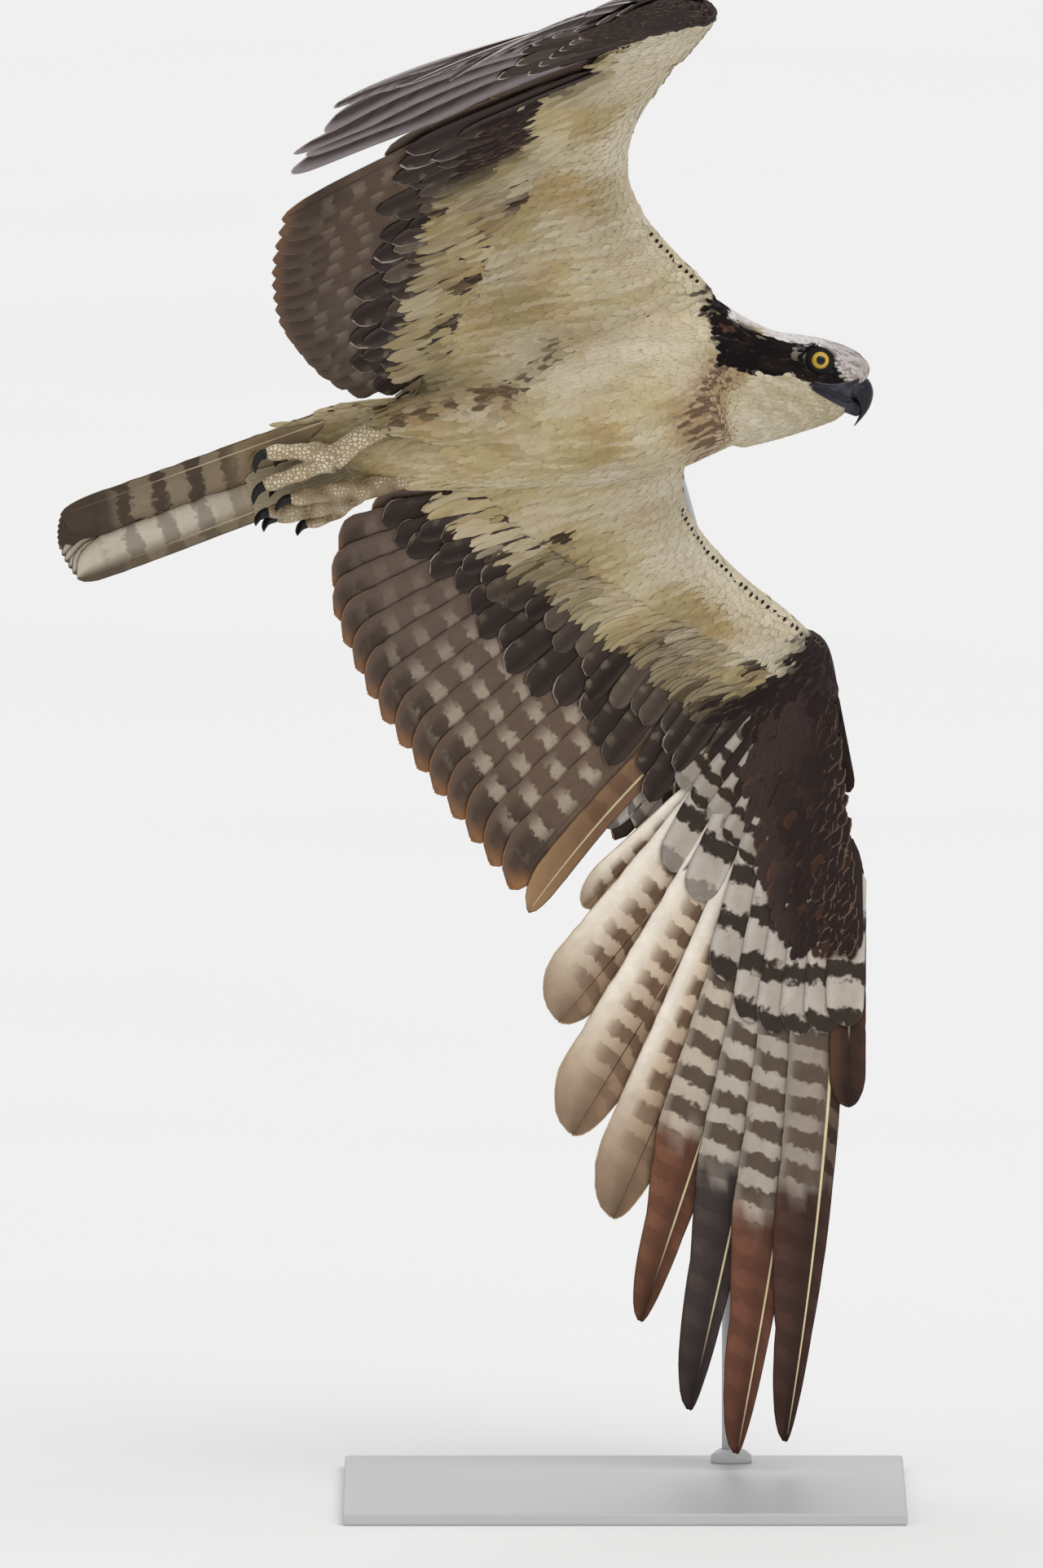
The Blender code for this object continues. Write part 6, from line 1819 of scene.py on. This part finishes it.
# The gape: a fleshy line on each side from the corner of the bill to below the eye, and one below it
GAPE_LINES = (
    # ahead, aside and height along the line, then its radius at the corner and how much that grows
    (((7, 24.4, -7.6), (16, 21.2, -8.2), (26, 16.6, -8.6), (35, 9.6, -9.4)), 0.9, 0.6),
    (((12, 22.0, -10.4), (22, 17.6, -12.0), (33, 9.4, -13.2)), 1.0, 1.6),
)
gapes = []
for s in (1, -1):
    for line, radius, widens in GAPE_LINES:
        path = through([(x, s * y, z) for x, y, z in line], 6)
        gapes.append(tube(from_head(path), radius + widens * np.linspace(0, 1, len(path)), 10, 0.8))
points, faces = joined(gapes)
in_head = to_head(points)
horn_piece("gape", points, faces, 0.1 + 0.35 * step(in_head[:, 0], 14, 30) * (in_head[:, 2] < -10.5))


# The feet: bare from above the ankle, thick skinned and pale grey, covered in small net-like scales
# with rough pads below the toes, and drawn up under the tail with the toes closed.

SHANK_RADII, TOE_RADII, CLAW_RADII = (7.4, 7.0, 8.2), (6.2, 5.2, 4.9), (3.3, 3.4, 2.6, 1.7, 0.35)
SCALE_SIZE = 2.7 * MM
foot_skin, tree, shader, place = new_material("scaled foot skin")
cell_size = {"Vector": place, "Scale": 1 / SCALE_SIZE, "Randomness": 0.75}
cells = node(tree, "TexVoronoi", cell_size, feature="DISTANCE_TO_EDGE")
plates = node(tree, "MapRange", {"Value": cells, "From Max": 0.22}, interpolation_type="SMOOTHSTEP")
stains = node(tree, "TexNoise", {"Vector": place, "Scale": 70.0, "Detail": 4.0})
pale = node(tree, "MixRGB", {"Fac": stains, "Color1": linear("#CDB68F"), "Color2": linear("#FAF1DC")})
# The attribute below mixes in brown: uneven stains on both feet, and painted shade over the left foot
below = node(tree, "Attribute", attribute_name="StainedAndShaded").outputs["Fac"]
pale = node(tree, "MixRGB", {"Fac": below, "Color1": pale, "Color2": linear("#5E462C")})
colour = node(tree, "MixRGB", {"Fac": plates, "Color1": linear("#9C865F"), "Color2": pale})
bump = node(tree, "Bump", {"Height": plates, "Distance": 0.6 * MM, "Strength": 0.8})
feed(tree, shader, {"Base Color": colour, "Normal": bump, "Roughness": 0.55})

# Claws: smooth black horn, round in section and sharply curved
claw_horn, tree, shader, place = new_material("black claw horn")
growth = node(tree, "TexNoise", {"Vector": place, "Scale": 300.0, "Detail": 3.0})
colour = node(tree, "MixRGB", {"Fac": growth, "Color1": linear("#0A090A"), "Color2": linear("#171518")})
feed(tree, shader, {"Base Color": colour, "Roughness": 0.32, "Specular IOR Level": 0.3})

for side, label, _, leg in SIDES:

    def on_side(rows):
        return np.array([(x, side * y, z) for x, y, z in rows], float)

    parts = [tube(through(on_side(leg["shank"]), 8), through_values(SHANK_RADII, 8), 20)]
    for k, (toe, claw_end) in enumerate(zip(leg["toes"], leg["claw_ends"]), 1):
        joints = on_side(toe)
        path = through(joints, 10)
        # Each toe swells at its pads
        pads = 0.5 * np.cos(np.linspace(0, 1, len(path)) * 2 * math.pi * 2.5)
        radii = through_values(TOE_RADII, 10) + pads
        radii[-2:] *= (0.93, 0.72)
        parts.append(tube(path, radii, 16))
        onward = joints[-1] - joints[-2]
        onward /= np.linalg.norm(onward)
        start, end = joints[-1] - onward * 1.5, on_side([claw_end])[0]
        bend = start + onward * np.linalg.norm(end - start) * 0.55
        along = np.linspace(0, 1, 18)
        curve = [start * (1 - u) ** 2 + bend * 2 * u * (1 - u) + end * u**2 for u in along]
        thick = np.interp(along, (0, 0.2, 0.5, 0.8, 1), CLAW_RADII)
        claw = mesh_from(f"talon_{label}_{k}", *tube(curve, thick, 14))
        claw.data.materials.append(claw_horn)
        set_piece(claw, "claw", f"claw_{label}_{k}")
    foot = mesh_from("leg_skin_" + label, *joined(parts))
    apply_modifier(foot, "REMESH", mode="VOXEL", voxel_size=0.8, use_smooth_shade=True)
    apply_modifier(foot, "SMOOTH", factor=0.5, iterations=3)
    # Both feet carry uneven stains; the left foot, lower in the photo, is also painted much browner as
    # painted shade
    blotches = ripple(skin_arrays(foot)[0], 16, 33)
    number_attribute(foot, "StainedAndShaded", 0.25 * blotches if side < 0 else 0.25 + 0.75 * blotches)
    foot.data.materials.append(foot_skin)
    set_piece(foot, "foot_skin", "foot_" + label)


# The stand: a heavy square steel plate with softened edges and a bent rod that goes up behind the
# left wing into the back, both in satin grey paint, with a collar where the rod meets the plate.

BASE_SIZE, BASE_THICKNESS, ROD_RADIUS = (0.360, 0.400), 0.008, 0.006
ROD = ((69, 150, 8.0), (69, 150, 240), (69, 150, 460), (58, 150, 545), (26, 60, 672), (12, -50, 714))
COLLAR_PROFILE = ((8.0, 13.0), (9.2, 13.4), (13.0, 13.0), (15.2, 10.4), (16.6, 8.2), (17.0, 6.1), (8.0, 6.1))
satin_paint, tree, shader, place = new_material("satin grey paint")
# The sprayed coat dries in a fine orange peel, about 1.5 mm across
peel = node(tree, "TexNoise", {"Vector": place, "Scale": 650.0, "Detail": 1.0})
haze = node(tree, "TexNoise", {"Vector": place, "Scale": 9.0, "Detail": 3.0})
colour = node(tree, "MixRGB", {"Fac": haze, "Color1": linear("#B4B6B8"), "Color2": linear("#BFC0C1")})
gloss = node(tree, "MapRange", {"Value": haze, "To Min": 0.38, "To Max": 0.5})
bump = node(tree, "Bump", {"Height": peel, "Distance": 0.05 * MM, "Strength": 0.5})
feed(tree, shader, {"Base Color": colour, "Roughness": gloss, "Normal": bump})

bpy.ops.object.select_all(action="DESELECT")
bpy.ops.mesh.primitive_cube_add(size=1)
plate = bpy.context.object
plate.name = "stand_plate"
lifted = Matrix.Translation((0, 0, BASE_THICKNESS / 2))
plate.data.transform(lifted @ Matrix.Diagonal((*BASE_SIZE, BASE_THICKNESS, 1)))
apply_modifier(plate, "BEVEL", width=0.0018, segments=4, limit_method="ANGLE")
plate.data.polygons.foreach_set("use_smooth", np.ones(len(plate.data.polygons), bool))
apply_modifier(plate, "WEIGHTED_NORMAL", keep_sharp=True)

rod = mesh_from("stand_support", *tube(through(ROD, 12) * MM, ROD_RADIUS, 28))

rings, turn = [], np.linspace(0, 2 * math.pi, 49)[:-1]
for height, radius in COLLAR_PROFILE:
    ring = [ROD[0][0] + radius * np.cos(turn), ROD[0][1] + radius * np.sin(turn), np.full(48, height)]
    rings.append(np.stack(ring, 1) * MM)
collar = mesh_from("stand_collar", *closed_loft(rings))

for piece, *nodes in ((plate, "stand_base"), (rod, "stand_rod"), (collar,)):
    piece.data.materials.append(satin_paint)
    set_piece(piece, "stand_paint", *nodes, matrix=np.eye(4))


low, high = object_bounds()
{"cad": [list(cad_low), list(cad_high)], "visual": [list(low), list(high)]}
